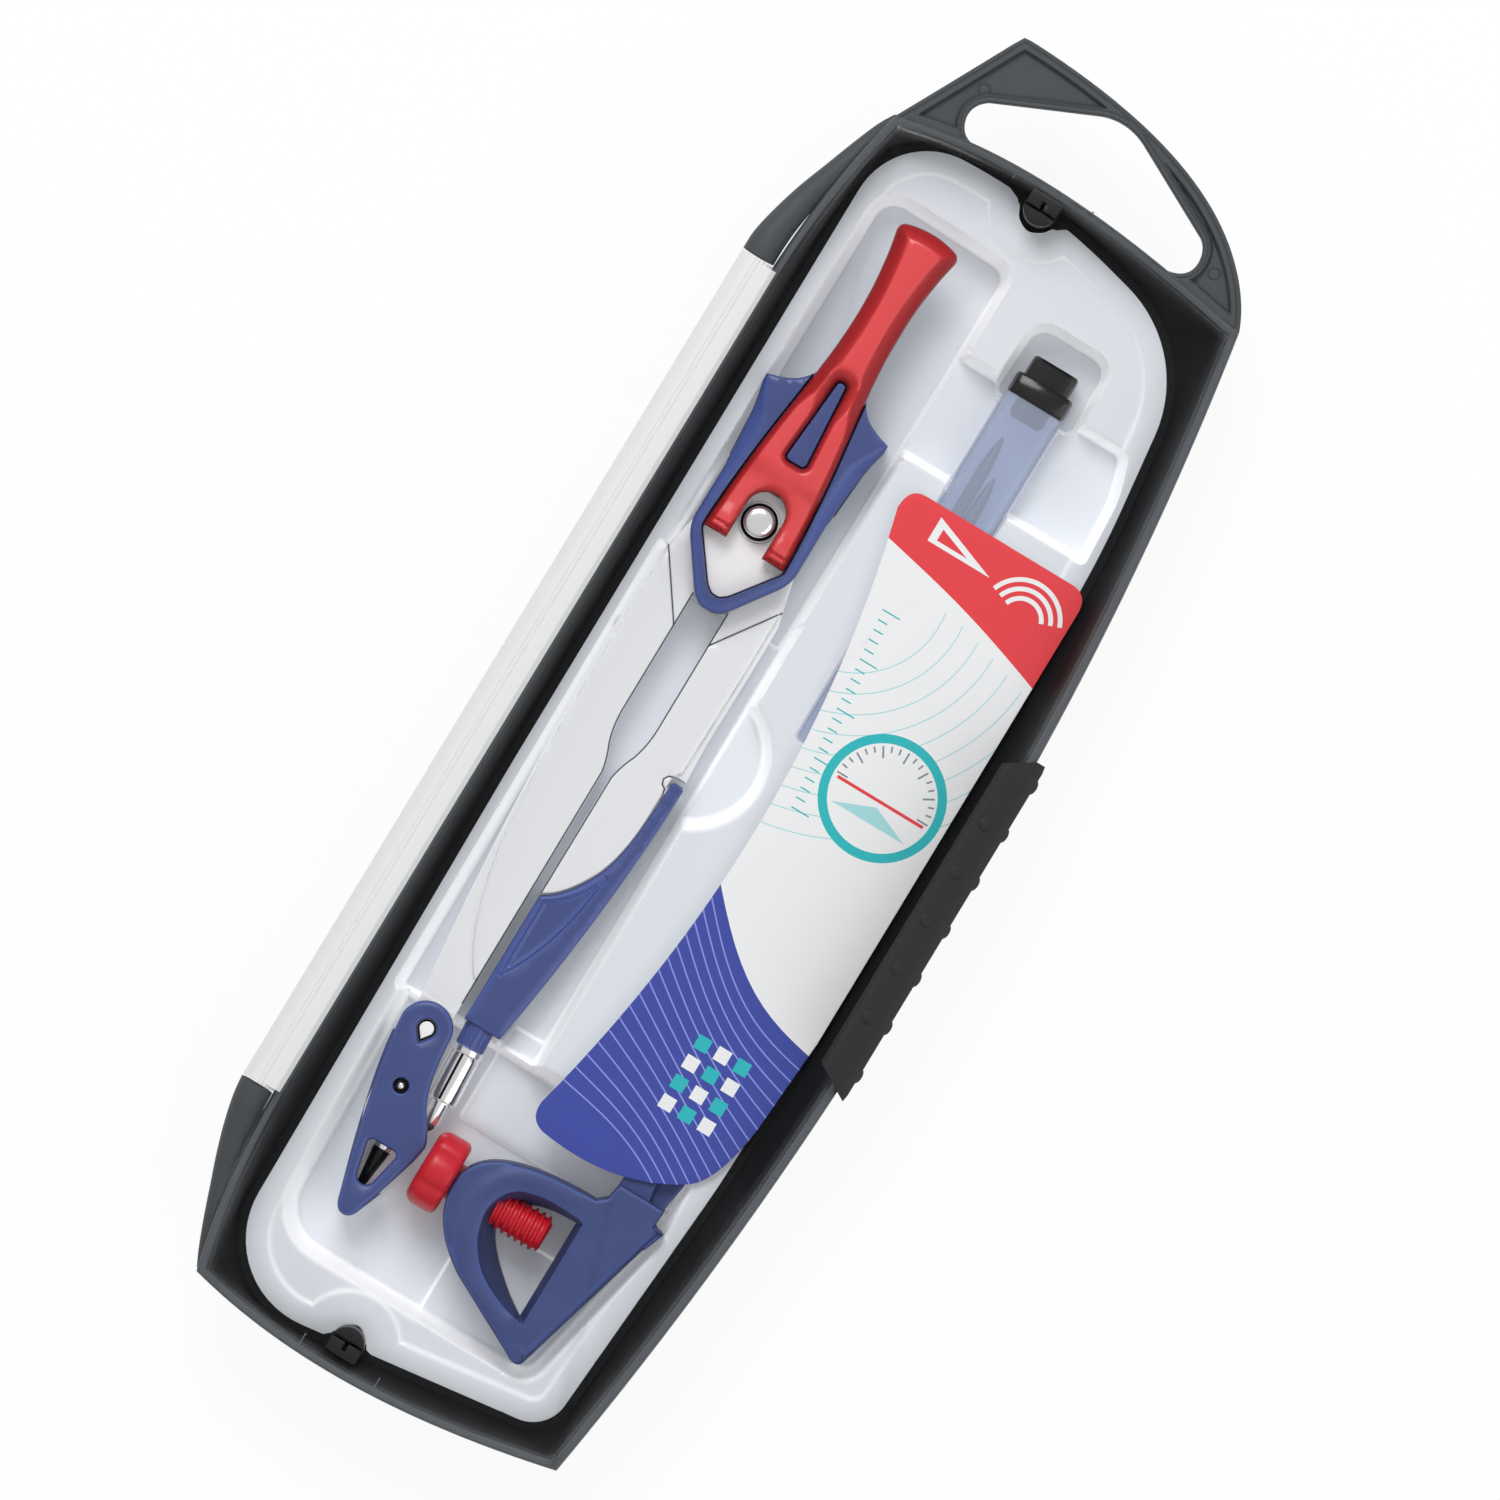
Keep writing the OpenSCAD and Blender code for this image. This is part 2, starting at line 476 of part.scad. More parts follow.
// Each well as an outline, grown by g, from its floor up
module well(z, g, pts) translate([0, 0, z - g]) linear_extrude(tray_z) offset(delta = g) polygon(pts);
module wells(g) {
    cx = compass.x;
    cy = compass.y;
    legs_floor = legs_z - seat_gap;
    head_floor = back_z - seat_gap;
    edge = cx + legs_w + 4.1;
    translate([0, 0, tray_z - shelf_d - g]) linear_extrude(tray_z) offset(delta = g - 2.8) polygon(tray_rim);
    well(head_floor, g, rounded([[cx - wing_w - 0.6, cy - 16, 2], [cx + wing_w + 1.2, cy - 16, 2],
        [cx + wing_w + 1.6, cy + lever_l + 2.6, 3], [cx - wing_w + 0.4, cy + lever_l + 3.4, 4]], 5));
    well(legs_floor, g, rounded([[-tray_left + 1.9, cy - 15, 1], [edge, cy - 15, 1],
        [edge, cy - leg_l - 1.5, 2], [-tray_left + 2.3, cy - leg_l - 1.5, 2]], 4));
    well(legs_floor - 0.3, g, rounded([[-tray_left + 3, cy - leg_l + 1, 1], [cx + 6.2, cy - leg_l + 1, 1],
        [cx + 6.2, -foot_y + 14, 5], [-tray_left + 4.2, -foot_y + 11.5, 9]], 5));
    well(tray_z - 5.8, g, rounded([[cx + wing_w + 1, 48.8, 0.8], [tray_right - 2.6, 48.8, 1], [tray_right - 3.2, 59, 20],
        [tray_right - 5.6, 66.6, 2.6], [cx + wing_w + 1, 66.6, 1.5]], 5));
    well(tube_z - seat_gap, g, rounded([[tube_x - tube_w / 2 - well_gap, tube_y - tube_l - well_gap, 1],
        [tube_x + tube_w / 2 + well_gap, tube_y - tube_l - well_gap, 1],
        [tube_x + tube_w / 2 + well_gap, tube_y + cap_l, 1], [tube_x - tube_w / 2 - well_gap, tube_y + cap_l, 1]], 4));
    well(tube_z - seat_gap, g, rounded([[tube_x - 6.8, tube_y - 1.4, 2], [tube_x + 7.6, tube_y - 1.4, 2],
        [tube_x + 7.2, tube_y + cap_l + cap_step + 3.2, 3], [tube_x - 6.4, tube_y + cap_l + cap_step + 3.2, 3]], 5));
    translate([cx + 9.3, -4.5, tray_z - 6.3 - g]) cylinder(r = 12 + g, h = tray_z);
    well(frame_z - seat_gap, g, rounded([[cx + 5, cy - leg_l + 0.2, 2], [26, cy - leg_l - 0.4, 2],
        [26.8, -70, 1], [cx + 5, -70, 1]], 4));
    well(frame_z - seat_gap, g, rounded([[cx + 5.6, -69.4, 1], [27, -69.4, 2], [20.6, -98.4, 3],
        [cx + 5.6, -98.4, 5]], 5));
    well(floor_t + sheet_t + 0.2, g, rounded([[-nose_x - knob_w - 1.5, -screw_y - knob_r - 0.9, 1.5],
        [-nose_x + 0.8, -screw_y - knob_r - 0.9, 1.5], [-nose_x + 0.8, -screw_y + knob_r + 0.9, 1.5],
        [-nose_x - knob_w - 1.5, -screw_y + knob_r + 0.9, 1.5]], 5));
    well(frame_z - 1.2, g, rounded([[0.9, -98.2, 1.6], [16.6, -98.2, 1.6], [18.2, -96.6, 1],
        [18.2, -80.6, 1], [0.9, -80.6, 1.6]], 4));
    well(frame_z + (frame_t - stem_t) / 2 - seat_gap, g, rounded([[16.8, -69.5, 1], [25.6, -69.5, 1],
        [25, -66 + stem_l + 1, 1], [18.2, -66 + stem_l + 1, 1]], 4));
}
module tray() color("#eceef1") difference() {
    slab(floor_t + 0.02, tray_z, tray_rim);
    wells(0);
    difference() {      // the sheet is hollow from behind
        translate([0, 0, -1]) linear_extrude(tray_z - sheet_t + 1) offset(delta = -2.2) polygon(tray_rim);
        wells(sheet_t);
    }
    difference() {      // its flange lies on the ledge
        translate([0, 0, -1]) linear_extrude(ledge_z + 1) offset(delta = 5) polygon(tray_rim);
        translate([0, 0, -2]) linear_extrude(30) offset(delta = -ledge_w - 0.25) polygon(tray_rim);
    }
    for (at = [post_head, post_foot]) translate([at.x, at.y, -1]) cylinder(r = post_r + 0.8, h = 30);
}

module lid_outline(d) offset(delta = -run_gap / 2 - d) polygon(body);
module lid_body(d, top) hull() {
    translate([0, 0, base_h + 0.25 - d]) linear_extrude(top - lid_round * 0.75 - base_h - 0.25 + d) lid_outline(d);
    translate([0, 0, top - lid_round * 0.3 - eps]) linear_extrude(eps) lid_outline(d + lid_round * 0.35);
    translate([0, 0, top - eps]) linear_extrude(eps) lid_outline(d + lid_round);
}
module lid_shell() color("#dfe9ef", 0.35) {
    difference() {
        union() {
            lid_body(0, lid_z);
            translate([hinge.x, -barrel_foot, hinge.y]) rotate([-90, 0, 0])
                cylinder(r = barrel_r, h = barrel_top + barrel_foot);
            translate([hinge.x, -barrel_foot, base_h + 0.5]) cube([barrel_r + 1.2, barrel_top + barrel_foot, 2.1]);
        }
        difference() {
            lid_body(lid_t, lid_z - lid_t);
            translate([-left_x - 9, -150, 0]) cube([9 + lid_t, 300, 22]);
        }
        translate([hinge.x, -barrel_foot - 1, hinge.y]) rotate([-90, 0, 0]) cylinder(r = stub_r + pin_gap, h = stub_l + 2);
        translate([hinge.x, barrel_top - stub_l - 1, hinge.y]) rotate([-90, 0, 0]) cylinder(r = stub_r + pin_gap, h = stub_l + 2);
    }
    for (at = [post_head, post_foot]) translate([at.x, at.y, base_h - peg_l]) cylinder(r = peg_r, h = lid_z - lid_t - base_h + peg_l + 0.2);
}

// The grip's section hooks over the lid's edge and hangs down outside the base
module thumb_grip() color("#3a3c3c") {
    out = right_x + 1.1;
    top = lid_z + grip_t;
    in = out - grip_w - 1.2;
    edge = right_x - run_gap / 2 + 0.1;       // just outside the lid's edge
    section = [[in, lid_z + 0.02], [in + 0.3, top], [in + 1.1, top], [out - 1.3, top - 1.5], [out, top - 3.2],
        [out + 0.1, top - 9], [out, base_h - grip_drop + 0.5], [out - 0.2, base_h - grip_drop],
        [right_x + 0.4, base_h - grip_drop], [right_x + 0.4, base_h + 0.1], [edge, base_h + 0.3],
        [edge, lid_z - lid_round * 0.75 + 0.02], [edge - lid_round * 0.35, lid_z - lid_round * 0.3 + 0.04],
        [edge - lid_round, lid_z + 0.02]];
    difference() {
        translate([0, grip_top, 0]) rotate([90, 0, 0]) linear_extrude(grip_top + grip_foot) polygon(section);
        // skewed ends
        translate([0, 0, -1]) linear_extrude(50) polygon([[in - 1, grip_top - 3.9], [out - 1.6, grip_top], [in - 1, grip_top + 1]]);
        translate([0, 0, -1]) linear_extrude(50) polygon([[in - 1, -grip_foot + 3.6], [out - 0.6, -grip_foot], [in - 1, -grip_foot - 1]]);
        translate([0, 0, -1]) linear_extrude(50) polygon([[out + 1, grip_top - 0.9], [out + 1, grip_top + 1], [out - 1.6, grip_top + 0.1]]);
        // it is hollowed to the curve of the lid and of the base
        translate([0, 0, base_h + 0.2]) linear_extrude(lid_z - base_h - lid_round * 0.75) offset(delta = -run_gap / 2 + 0.02) polygon(body);
        linear_extrude(base_h + 0.25) offset(delta = run_gap) polygon(body);
    }
    mid = (grip_top - grip_foot) / 2;
    for (i = [-2 : 2]) translate([out - 3.3, mid + i * pip_pitch, top - 0.75]) rotate([0, 20.6, 0]) pip();
    for (i = [-3 : 3]) translate([out - 0.1, mid + i * pip_pitch, top - 4.6]) rotate([0, 82, 0]) pip();
}
// Low dome on a flat disc
module pip() rotate_extrude($fn = 24) polygon(concat([[0, -0.25], [pip_r, -0.25], [pip_r, 0]],
    [for (a = [15 : 15 : 90]) [pip_r * cos(a), pip_h * sin(a)]]));

module card_insert() color("#f4f5f7") slab(card_z, card_z + card_t, card);

// ---- Compass ----
module at_compass() translate([compass.x, compass.y, 0]) children();
module handle(z0, z1) hull() {
    translate([0, 22, z0]) linear_extrude(z1 - z0) square([7.4, 4], center = true);
    translate([0, handle_l - 3, z0]) linear_extrude(z1 - z0) circle(r = 3, $fn = hull_fn);
}
hub_clear = hub_r + 0.4;
module head_cover(z0, z1) difference() {
    slab(z0, z1, shield);
    translate([0, 0, z0 - 1]) cylinder(r = shank_r + pin_gap, h = z1 - z0 + 2);
}
// The part of the head beyond the hubs, where its two halves meet
module head_bridge(z0, z1) difference() {
    intersection() {
        slab(z0, z1, shield);
        translate([-20, 6, z0 - 1]) cube([40, 40, 20]);
    }
    translate([0, 0, z0 - 1]) cylinder(r = hub_clear, h = 40);
}
split_z = legs_z + leg_t / 2;
module head_front() color(blue) at_compass() difference() {
    union() {
        head_cover(front_z, shield_z);
        head_bridge(split_z, front_z + eps);
        handle(split_z, channel_z - 0.4);
    }
    // channel for the lever, and the seat of the plate
    translate([0, 0, channel_z]) linear_extrude(20) {
        intersection() {
            offset(delta = 0.3) polygon(lever);
            translate([-20, -20]) square([40, 60]);
        }
        offset(delta = 0.12) polygon(plate);
        circle(r = notch_r + 0.5);
    }
    // bores of the fork's pins
    translate([-fork_w - 1, pivot.x, pivot.y]) rotate([0, 90, 0]) cylinder(r = pin_r + 0.02, h = 2 * fork_w + 2);
}
module head_back() color(blue) at_compass() {
    difference() {
        slab(back_z, back_z + cover_t, shield);
        translate([0, 0, back_z - 1]) cylinder(r = shank_r + pin_gap, h = cover_t + 2);
    }
    head_bridge(back_z + cover_t - eps, split_z);
    handle(back_z + 1, split_z);
}
module head_plate() color("#f3f1f2") at_compass() difference() {
    slab(channel_z, plate_z, plate);
    translate([0, 0, channel_z - 1]) cylinder(r = dome_r + 0.35, h = 9);
}
module head_rivet() color(steel) at_compass() {
    translate([0, 0, back_z + 0.2]) cylinder(r = shank_r, h = channel_z - back_z);
    translate([0, 0, channel_z]) rotate_extrude() polygon(concat([[0, 0], [dome_r, 0], [dome_r, plate_t + 0.4]],
        [for (a = [10 : 10 : 90]) [dome_r * cos(a), plate_t + 0.4 + (dome_h - 0.4) * sin(a)]]));
}
module pivot_washers() color("#e8e4d8") at_compass() for (z = [split_z - 0.15, front_z - 0.1])
    translate([0, 0, z]) difference() {
        cylinder(r = 4, h = z > split_z ? 0.1 : 0.3);
        translate([0, 0, -1]) cylinder(r = shank_r + pin_gap, h = 3);
    }
module stop_lever() color(red) at_compass() {
    low = channel_z + 0.5;
    top = low + lever_t;
    // side view: rounded fork, thick handle with a rounded end
    side = concat([for (a = [90 : 15 : 270]) pivot + cam_r * [cos(a), sin(a)]],
        [[2, low], [22, low], [27, low - 0.4], [lever_l - 1.4, low - 0.4]],
        bend([lever_l - 1.4, low - 0.4], [lever_l + 0.1, low - 0.4], [lever_l, low + 1.4], 4),
        [[lever_l, top - 1.6]], bend([lever_l, top - 1.4], [lever_l - 0.1, top], [lever_l - 2, top], 4),
        [[30, top - 0.3], [16, top - 0.3]], bend([16, top - 0.3], [7, top - 0.5], [2, pivot.y + cam_r], 4));
    difference() {
        intersection() {
            slab(low - 2, top + 1, lever);
            translate([-20, 0, 0]) rotate([90, 0, 90]) linear_extrude(40) polygon(side);
        }
        slab(low - 2, top + 1, lever_slot);
        // notch astride the rivet
        translate([0, 1.6, low - 2]) cylinder(r = notch_r, h = 20);
        translate([-notch_r, -10, low - 2]) cube([2 * notch_r, 11.6, 20]);
        translate([-fork_w - 1, pivot.x, pivot.y]) rotate([0, 90, 0]) cylinder(r = pin_r + pin_gap, h = 2 * fork_w + 2);
        // bevels along the upper edges of the handle
        for (s = [-1, 1]) translate([s * (waist_w - 0.2), lever_l / 2 + 6, top - 0.3]) rotate([0, s * 50, -s * 2])
            translate([-0.1, -lever_l / 2, 0]) cube([4, lever_l + 4, 3]);
    }
}
module lever_pins() color(steel) at_compass() for (s = [0, 1]) mirror([s, 0, 0])
    translate([notch_r + 0.8, pivot.x, pivot.y]) rotate([0, 90, 0]) cylinder(r = pin_r, h = fork_w + 1 - notch_r - 0.8);

// One leg: its own half of the hub, full thickness below the hubs
module leg(outline, face, hub_z) difference() {
    union() {
        difference() {
            slab(legs_z, legs_z + leg_t - face_d, outline);
            translate([0, 0, legs_z - 1]) cylinder(r = hub_clear, h = leg_t + 2);
        }
        difference() {
            slab(legs_z + leg_t - face_d - eps, legs_z + leg_t, face);
            translate([0, 0, legs_z - 1]) cylinder(r = hub_clear, h = leg_t + 2);
        }
        translate([0, 0, hub_z]) linear_extrude(leg_t / 2 - 0.15) {
            circle(r = hub_r);
            intersection() {
                polygon(outline);
                circle(r = hub_clear + 3);
            }
        }
    }
    translate([0, 0, legs_z - 1]) cylinder(r = shank_r + pin_gap, h = leg_t + 2);
}
// Groove that marks the upper end of a leg's face, s is the side
module chevron(s) linear_extrude(0.4) polygon([[s * 9.9, -9.7], [s * 2.8, -19.9], [s * 2.8, -20.4], [s * 9.9, -10.2]]);
module at_guard() translate([guard_p.x, guard_p.y, 0]) children();
needle_rel = needle_x - guard_p.x;
module needle_leg() color(silver) {
    at_compass() difference() {
        leg(leg_left, face_left, legs_z);
        translate([0, 0, legs_z + leg_t - 0.25]) chevron(-1);
    }
    at_guard() difference() {
        union() {
            // backing plate, and the tongue that holds the needle
            slab(legs_z - 0.2, guard_z - 0.2, [for (p = guard) [p.x - (p.x > 3 ? 0.3 : 0.35), p.y * 1.012]]);
            slab(legs_z, legs_z + leg_t - 0.4, [[-1.5, -13.5], [needle_rel + 1.7, -13.5], [needle_rel + 1.7, -9.8],
                [-compass_x - slot_w - guard_p.x, -7.2], [-compass_x - slot_w - guard_p.x, 4.2], [-3.2, 4.2], [-3.2, -2]]);
        }
        translate([0, 0, legs_z - 1]) cylinder(r = guard_rivet_r, h = leg_t + 2);
        translate([needle_rel, -11, needle_z]) rotate([90, 0, 0]) cylinder(r = holder_r, h = 20);
    }
}
module needle_guard() color(blue) at_guard() difference() {
    slab(guard_z, guard_top, guard);
    // hollow over the leg's end, open on the side that it swings from
    translate([0, 0, guard_z - 1]) linear_extrude(guard_top - guard_t - guard_z + 1) polygon(
        [[-6, 5], [12, 5], [12, -21], [5.6, -27.9], [2.6, -27.9], [0.5, -21], [-1.9, -14.6], [-3.4, -2.6], [-6, -2.6]]);
    slab(guard_z - 1, guard_top + 1, guard_window);
    translate([0, 0, guard_z - 1]) cylinder(r = guard_rivet_r + pin_gap, h = 20);
    translate([1.3, -9.2, guard_z - 1]) cylinder(r = 0.52, h = 20);
}
module guard_rivet() color(steel) translate([guard_p.x, guard_p.y, legs_z - 0.2])
    cylinder(r = guard_rivet_r, h = guard_top - legs_z + 0.3);
module guard_stud() color(steel) translate([guard_p.x + 1.3, guard_p.y - 9.2, guard_top - guard_t + 0.1])
    cylinder(r = 0.5, h = guard_t);
module needle_holder() color(steel) translate([needle_x, guard_p.y - 11, needle_z]) rotate([90, 0, 0])
    rotate_extrude() polygon([[0, 0], [holder_r - 0.02, 0], [holder_r - 0.02, 9.4], [needle_r + 0.2, 13.8], [needle_r, 13.8], [0, 13.8]]);
module needle() color("#9a9ca0") translate([needle_x, guard_p.y - 24.8, needle_z]) rotate([90, 0, 0])
    rotate_extrude() polygon([[0, 0], [needle_r, 0], [needle_r, 0.6], [0, 2.2]]);

module lead_leg() color(silver) at_compass() difference() {
    union() {
        leg(leg_right, flip_x(face_left_short), split_z + 0.15);
        // cheek behind the arm's boss
        translate([arm_p.x - compass.x, arm_p.y - compass.y, legs_z]) cylinder(r = boss_r, h = 0.9);
        slab(legs_z, legs_z + 0.9, [[7.2, -36], [legs_w, -36], [legs_w + 0.3, -41.5], [8, -42.6]]);
    }
    translate([0, 0, legs_z + leg_t - 0.25]) chevron(1);
    translate([arm_p.x - compass.x, arm_p.y - compass.y, legs_z + 0.9]) cylinder(r = boss_r + run_gap, h = leg_t);
    translate([arm_p.x - compass.x, arm_p.y - compass.y, legs_z - 1]) cylinder(r = arm_pin_r, h = leg_t + 2);
}
face_left_short = concat([[-gap_w - 0.5, -10], [-gap_w - 0.5, -34]], [for (p = leg_inner) p + [-0.5, 0]],
    [[-slot_w - 0.3, -46], [-slot_w - 0.3, -62.4]],
    [for (p = crescent) [-p.x + 0.35, p.y + 0.35]], [[-8.5, -38.8]],
    bend([-legs_w + 0.5, -38.2], [-legs_w + 0.4, -20], [-legs_w + 1.6, -10], 8));
module lead_arm() color(blue) at_compass() {
    ap = arm_p - compass;
    difference() {
        union() {
            slab(legs_z, legs_z + leg_t, arm);
            translate([ap.x, ap.y, legs_z + 1.2]) cylinder(r = boss_r, h = leg_t - 1.2);
            collet_frame() translate([0, 0, -0.5]) cylinder(r = collet_r + 0.05, h = neck_l + 0.5);
        }
        slab(legs_z + leg_t - 0.6, legs_z + leg_t + 1, leaf);
        translate([ap.x - 6, ap.y - 2.6, legs_z - 1]) cube([12, 8, 2.2]);
        translate([ap.x, ap.y, legs_z - 1]) cylinder(r = arm_pin_r + pin_gap, h = leg_t + 2);
        collet_frame() translate([0, 0, -6]) cylinder(r = lead_r + pin_gap, h = 20);
    }
}
// Along the collet, from the arm's foot
module collet_frame() translate([collet_p.x - compass.x, collet_p.y - compass.y, collet_z])
    rotate([0, 0, collet_a]) rotate([90, 0, 0]) children();
module arm_pin() color(steel) translate([arm_p.x, arm_p.y, legs_z]) cylinder(r = arm_pin_r, h = leg_t + 0.1);
module collet_collar() color(steel) at_compass() collet_frame() translate([0, 0, neck_l]) difference() {
    cylinder(r = collet_r + 0.3, h = 0.9);
    translate([0, 0, -1]) cylinder(r = lead_r + pin_gap, h = 3);
}
module lead_collet() color(steel) at_compass() collet_frame() translate([0, 0, neck_l + 0.9]) difference() {
    rotate_extrude() polygon([[lead_r, 0], [collet_r - 0.1, 0], [collet_r, collet_l * 0.75], [collet_r - 0.2, collet_l - 0.9],
        [lead_r, collet_l - 0.9]]);
    for (a = [0, 90]) rotate([0, 0, 45 + a]) translate([-5, -0.2, 1.2]) cube([10, 0.4, 20]);
}
module compass_lead() color("#54565a") at_compass() collet_frame() rotate_extrude() polygon([[0, -5.5], [lead_r - 0.02, -5.5],
    [lead_r - 0.02, neck_l + collet_l + 1], [0, neck_l + collet_l + 2.4]]);

// ---- Lead tube ----
function cut_box(w, h, c) = [[-w / 2 + c, -h / 2], [w / 2 - c, -h / 2], [w / 2, -h / 2 + c], [w / 2, h / 2 - c],
    [w / 2 - c, h / 2], [-w / 2 + c, h / 2], [-w / 2, h / 2 - c], [-w / 2, -h / 2 + c]];
module tube_box(w, h, y0, y1, z0) translate([tube_x, y1, z0 + h / 2]) rotate([90, 0, 0]) linear_extrude(y1 - y0)
    polygon(cut_box(w, h, 1.3));
module lead_tube() color("#b8c2d6", 0.5) difference() {
    tube_box(tube_w, tube_h, tube_y - tube_l, tube_y, tube_z);
    translate([tube_x, tube_y + 1, tube_z + tube_h / 2]) rotate([90, 0, 0]) linear_extrude(tube_l + 1 - 1.2)
        square([tube_w - 2 * tube_t - 1.2, tube_h - 2 * tube_t - 1], center = true);
}
module lead_cap() color("#101011") {
    tube_box(tube_w, tube_h, tube_y + 0.05, tube_y + cap_l, tube_z);
    tube_box(tube_w - 2, tube_h - 1.6, tube_y + cap_l - eps, tube_y + cap_l + cap_step, tube_z + 0.8);
    plug_w = tube_w - 2 * tube_t - 1.6;
    translate([tube_x, tube_y - 1.2, tube_z + tube_h / 2]) cube([plug_w, 2.6, plug_w - 0.4], center = true);
    translate([tube_x, tube_y - plug_l / 2, tube_z + tube_h / 2]) cube([plug_w - 1.4, plug_l, plug_w - 1.8], center = true);
}
module spare_leads() color("#7c7e84") {
    for (x = [-1.5, 0.6]) translate([tube_x + x, tube_y - tube_l + 1.6, tube_z + tube_t + 0.55 + lead_r]) rotate([-90, 0, 0])
        rotate_extrude() polygon([[0, 0], [lead_r, 0], [lead_r, x > 0 ? 46 : 48.6], [0, x > 0 ? 46 : 52]]);
}

// ---- Pen adaptor ----
module adaptor_frame() color(blue) difference() {
    union() {
        slab(frame_z, frame_z + frame_t, adaptor);
        slab(screw_z - stem_t / 2, screw_z + stem_t / 2, stem);
        slab(screw_z - stem_t / 2, frame_z + frame_t, [[20.4, -62.6], [21, -62.6], [22, -66.4], [24.8, -70.6], [23.6, -70.6], [21.2, -67]]);
    }
    slab(frame_z - 1, frame_z + frame_t + 1, window);
    translate([-nose_x - 2, -screw_y, screw_z]) rotate([0, 90, 0]) cylinder(r = screw_r + pin_gap, h = 14);
    translate([-nose_x - 2, -screw_y, screw_z]) rotate([0, 90, 0]) cylinder(r = knob_r + 0.5, h = 1.9);
}
module thumbscrew() color("#d0202e") translate([-nose_x + 0.2 - 0.6, -screw_y, screw_z]) rotate([0, 90, 0]) {
    // lobed knob
    difference() {
        translate([0, 0, -knob_w]) rotate_extrude() polygon(concat([[0, 0]],
            [for (a = [0 : 15 : 90]) [knob_r - 1.6 + 1.6 * sin(a), 1.6 - 1.6 * cos(a)]],
            [for (a = [0 : 30 : 90]) [knob_r - 0.6 + 0.6 * cos(a), knob_w - 0.6 + 0.6 * sin(a)]], [[0, knob_w]]));
        for (i = [0 : 5]) rotate([0, 0, i * 60 + 30]) translate([knob_r + 1.5, 0, -knob_w - 1]) cylinder(r = 2.2, h = knob_w + 2);
    }
    // screw with a rounded end
    rotate_extrude() polygon(concat([[0, -1], [screw_r, -1], [screw_r, 6.4]],
        [for (i = [0 : floor((screw_l - 8.6) / pitch) - 1]) each
            [[screw_r - 0.55, 6.6 + (i + 0.25) * pitch], [screw_r, 6.6 + (i + 0.6) * pitch], [screw_r, 6.6 + (i + 0.85) * pitch]]],
        [[screw_r - 0.5, screw_l - 1.6], [screw_r - 0.5, screw_l - 0.8], [screw_r - 1.2, screw_l], [0, screw_l]]));
}

base_shell();
tray();
lid_shell();
thumb_grip();
card_insert();
head_front();
head_back();
head_plate();
head_rivet();
pivot_washers();
stop_lever();
lever_pins();
needle_leg();
lead_leg();
needle_guard();
guard_rivet();
guard_stud();
needle_holder();
needle();
lead_arm();
arm_pin();
collet_collar();
lead_collet();
compass_lead();
lead_tube();
lead_cap();
spare_leads();
adaptor_frame();
thumbscrew();
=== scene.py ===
import math

import bpy
import numpy as np
from bpy.props import FloatProperty, FloatVectorProperty, PointerProperty
from bpy.types import Operator, Panel, PropertyGroup
from mathutils import Matrix, Vector
from mathutils.geometry import delaunay_2d_cdt


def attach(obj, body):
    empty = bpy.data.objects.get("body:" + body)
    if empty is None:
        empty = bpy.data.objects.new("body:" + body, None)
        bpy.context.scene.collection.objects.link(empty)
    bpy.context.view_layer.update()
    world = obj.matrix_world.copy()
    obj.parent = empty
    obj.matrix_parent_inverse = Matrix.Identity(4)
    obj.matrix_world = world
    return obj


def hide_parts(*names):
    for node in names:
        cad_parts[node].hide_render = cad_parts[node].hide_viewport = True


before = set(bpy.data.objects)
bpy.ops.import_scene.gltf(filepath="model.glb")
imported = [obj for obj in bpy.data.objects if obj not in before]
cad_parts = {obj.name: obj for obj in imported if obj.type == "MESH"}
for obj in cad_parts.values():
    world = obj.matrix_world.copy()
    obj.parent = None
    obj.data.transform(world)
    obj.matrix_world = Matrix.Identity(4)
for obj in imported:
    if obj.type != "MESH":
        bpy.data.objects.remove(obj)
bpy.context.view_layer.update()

bl_info = {
    "name": "Drafting instrument case",
    "version": (1, 0, 0),
    "blender": (4, 5, 0),
    "location": "3D Viewport > Sidebar > Case",
    "description": "Builds the visible surfaces of a drafting instrument case and its contents",
    "category": "Add Mesh",
}

# ---- Outlines, in millimetres, as arrays of (x, y) -------------------------------------------


def bend(p, c, q, n=14):
    """Quadratic curve from p to q, pulled towards c: (1-t)^2 p + 2t(1-t) c + t^2 q, without its last
    point."""
    t = np.linspace(0, 1, n, endpoint=False)[:, None]
    p, c, q = (np.asarray(v, float) for v in (p, c, q))
    return (1 - t) ** 2 * p + 2 * t * (1 - t) * c + t * t * q


def join(*parts):
    """One outline from curves and single points."""
    return np.vstack([np.atleast_2d(np.asarray(p, float)) for p in parts])


def smooth(points, n=8):
    """Catmull-Rom curve through points: each stretch is the cubic whose slope at a point is half the step
    between its neighbours."""
    p = np.asarray(points, float)
    p = np.vstack([2 * p[0] - p[1], p, 2 * p[-1] - p[-2]])
    t = np.linspace(0, 1, n, endpoint=False)[:, None]
    out = []
    for a, b, c, d in zip(p[:-3], p[1:-2], p[2:-1], p[3:]):
        square, cube = 2 * a - 5 * b + 4 * c - d, 3 * b - a - 3 * c + d
        out.append(0.5 * (2 * b + (c - a) * t + square * t**2 + cube * t**3))
    return np.vstack(out + [p[-2:-1]])


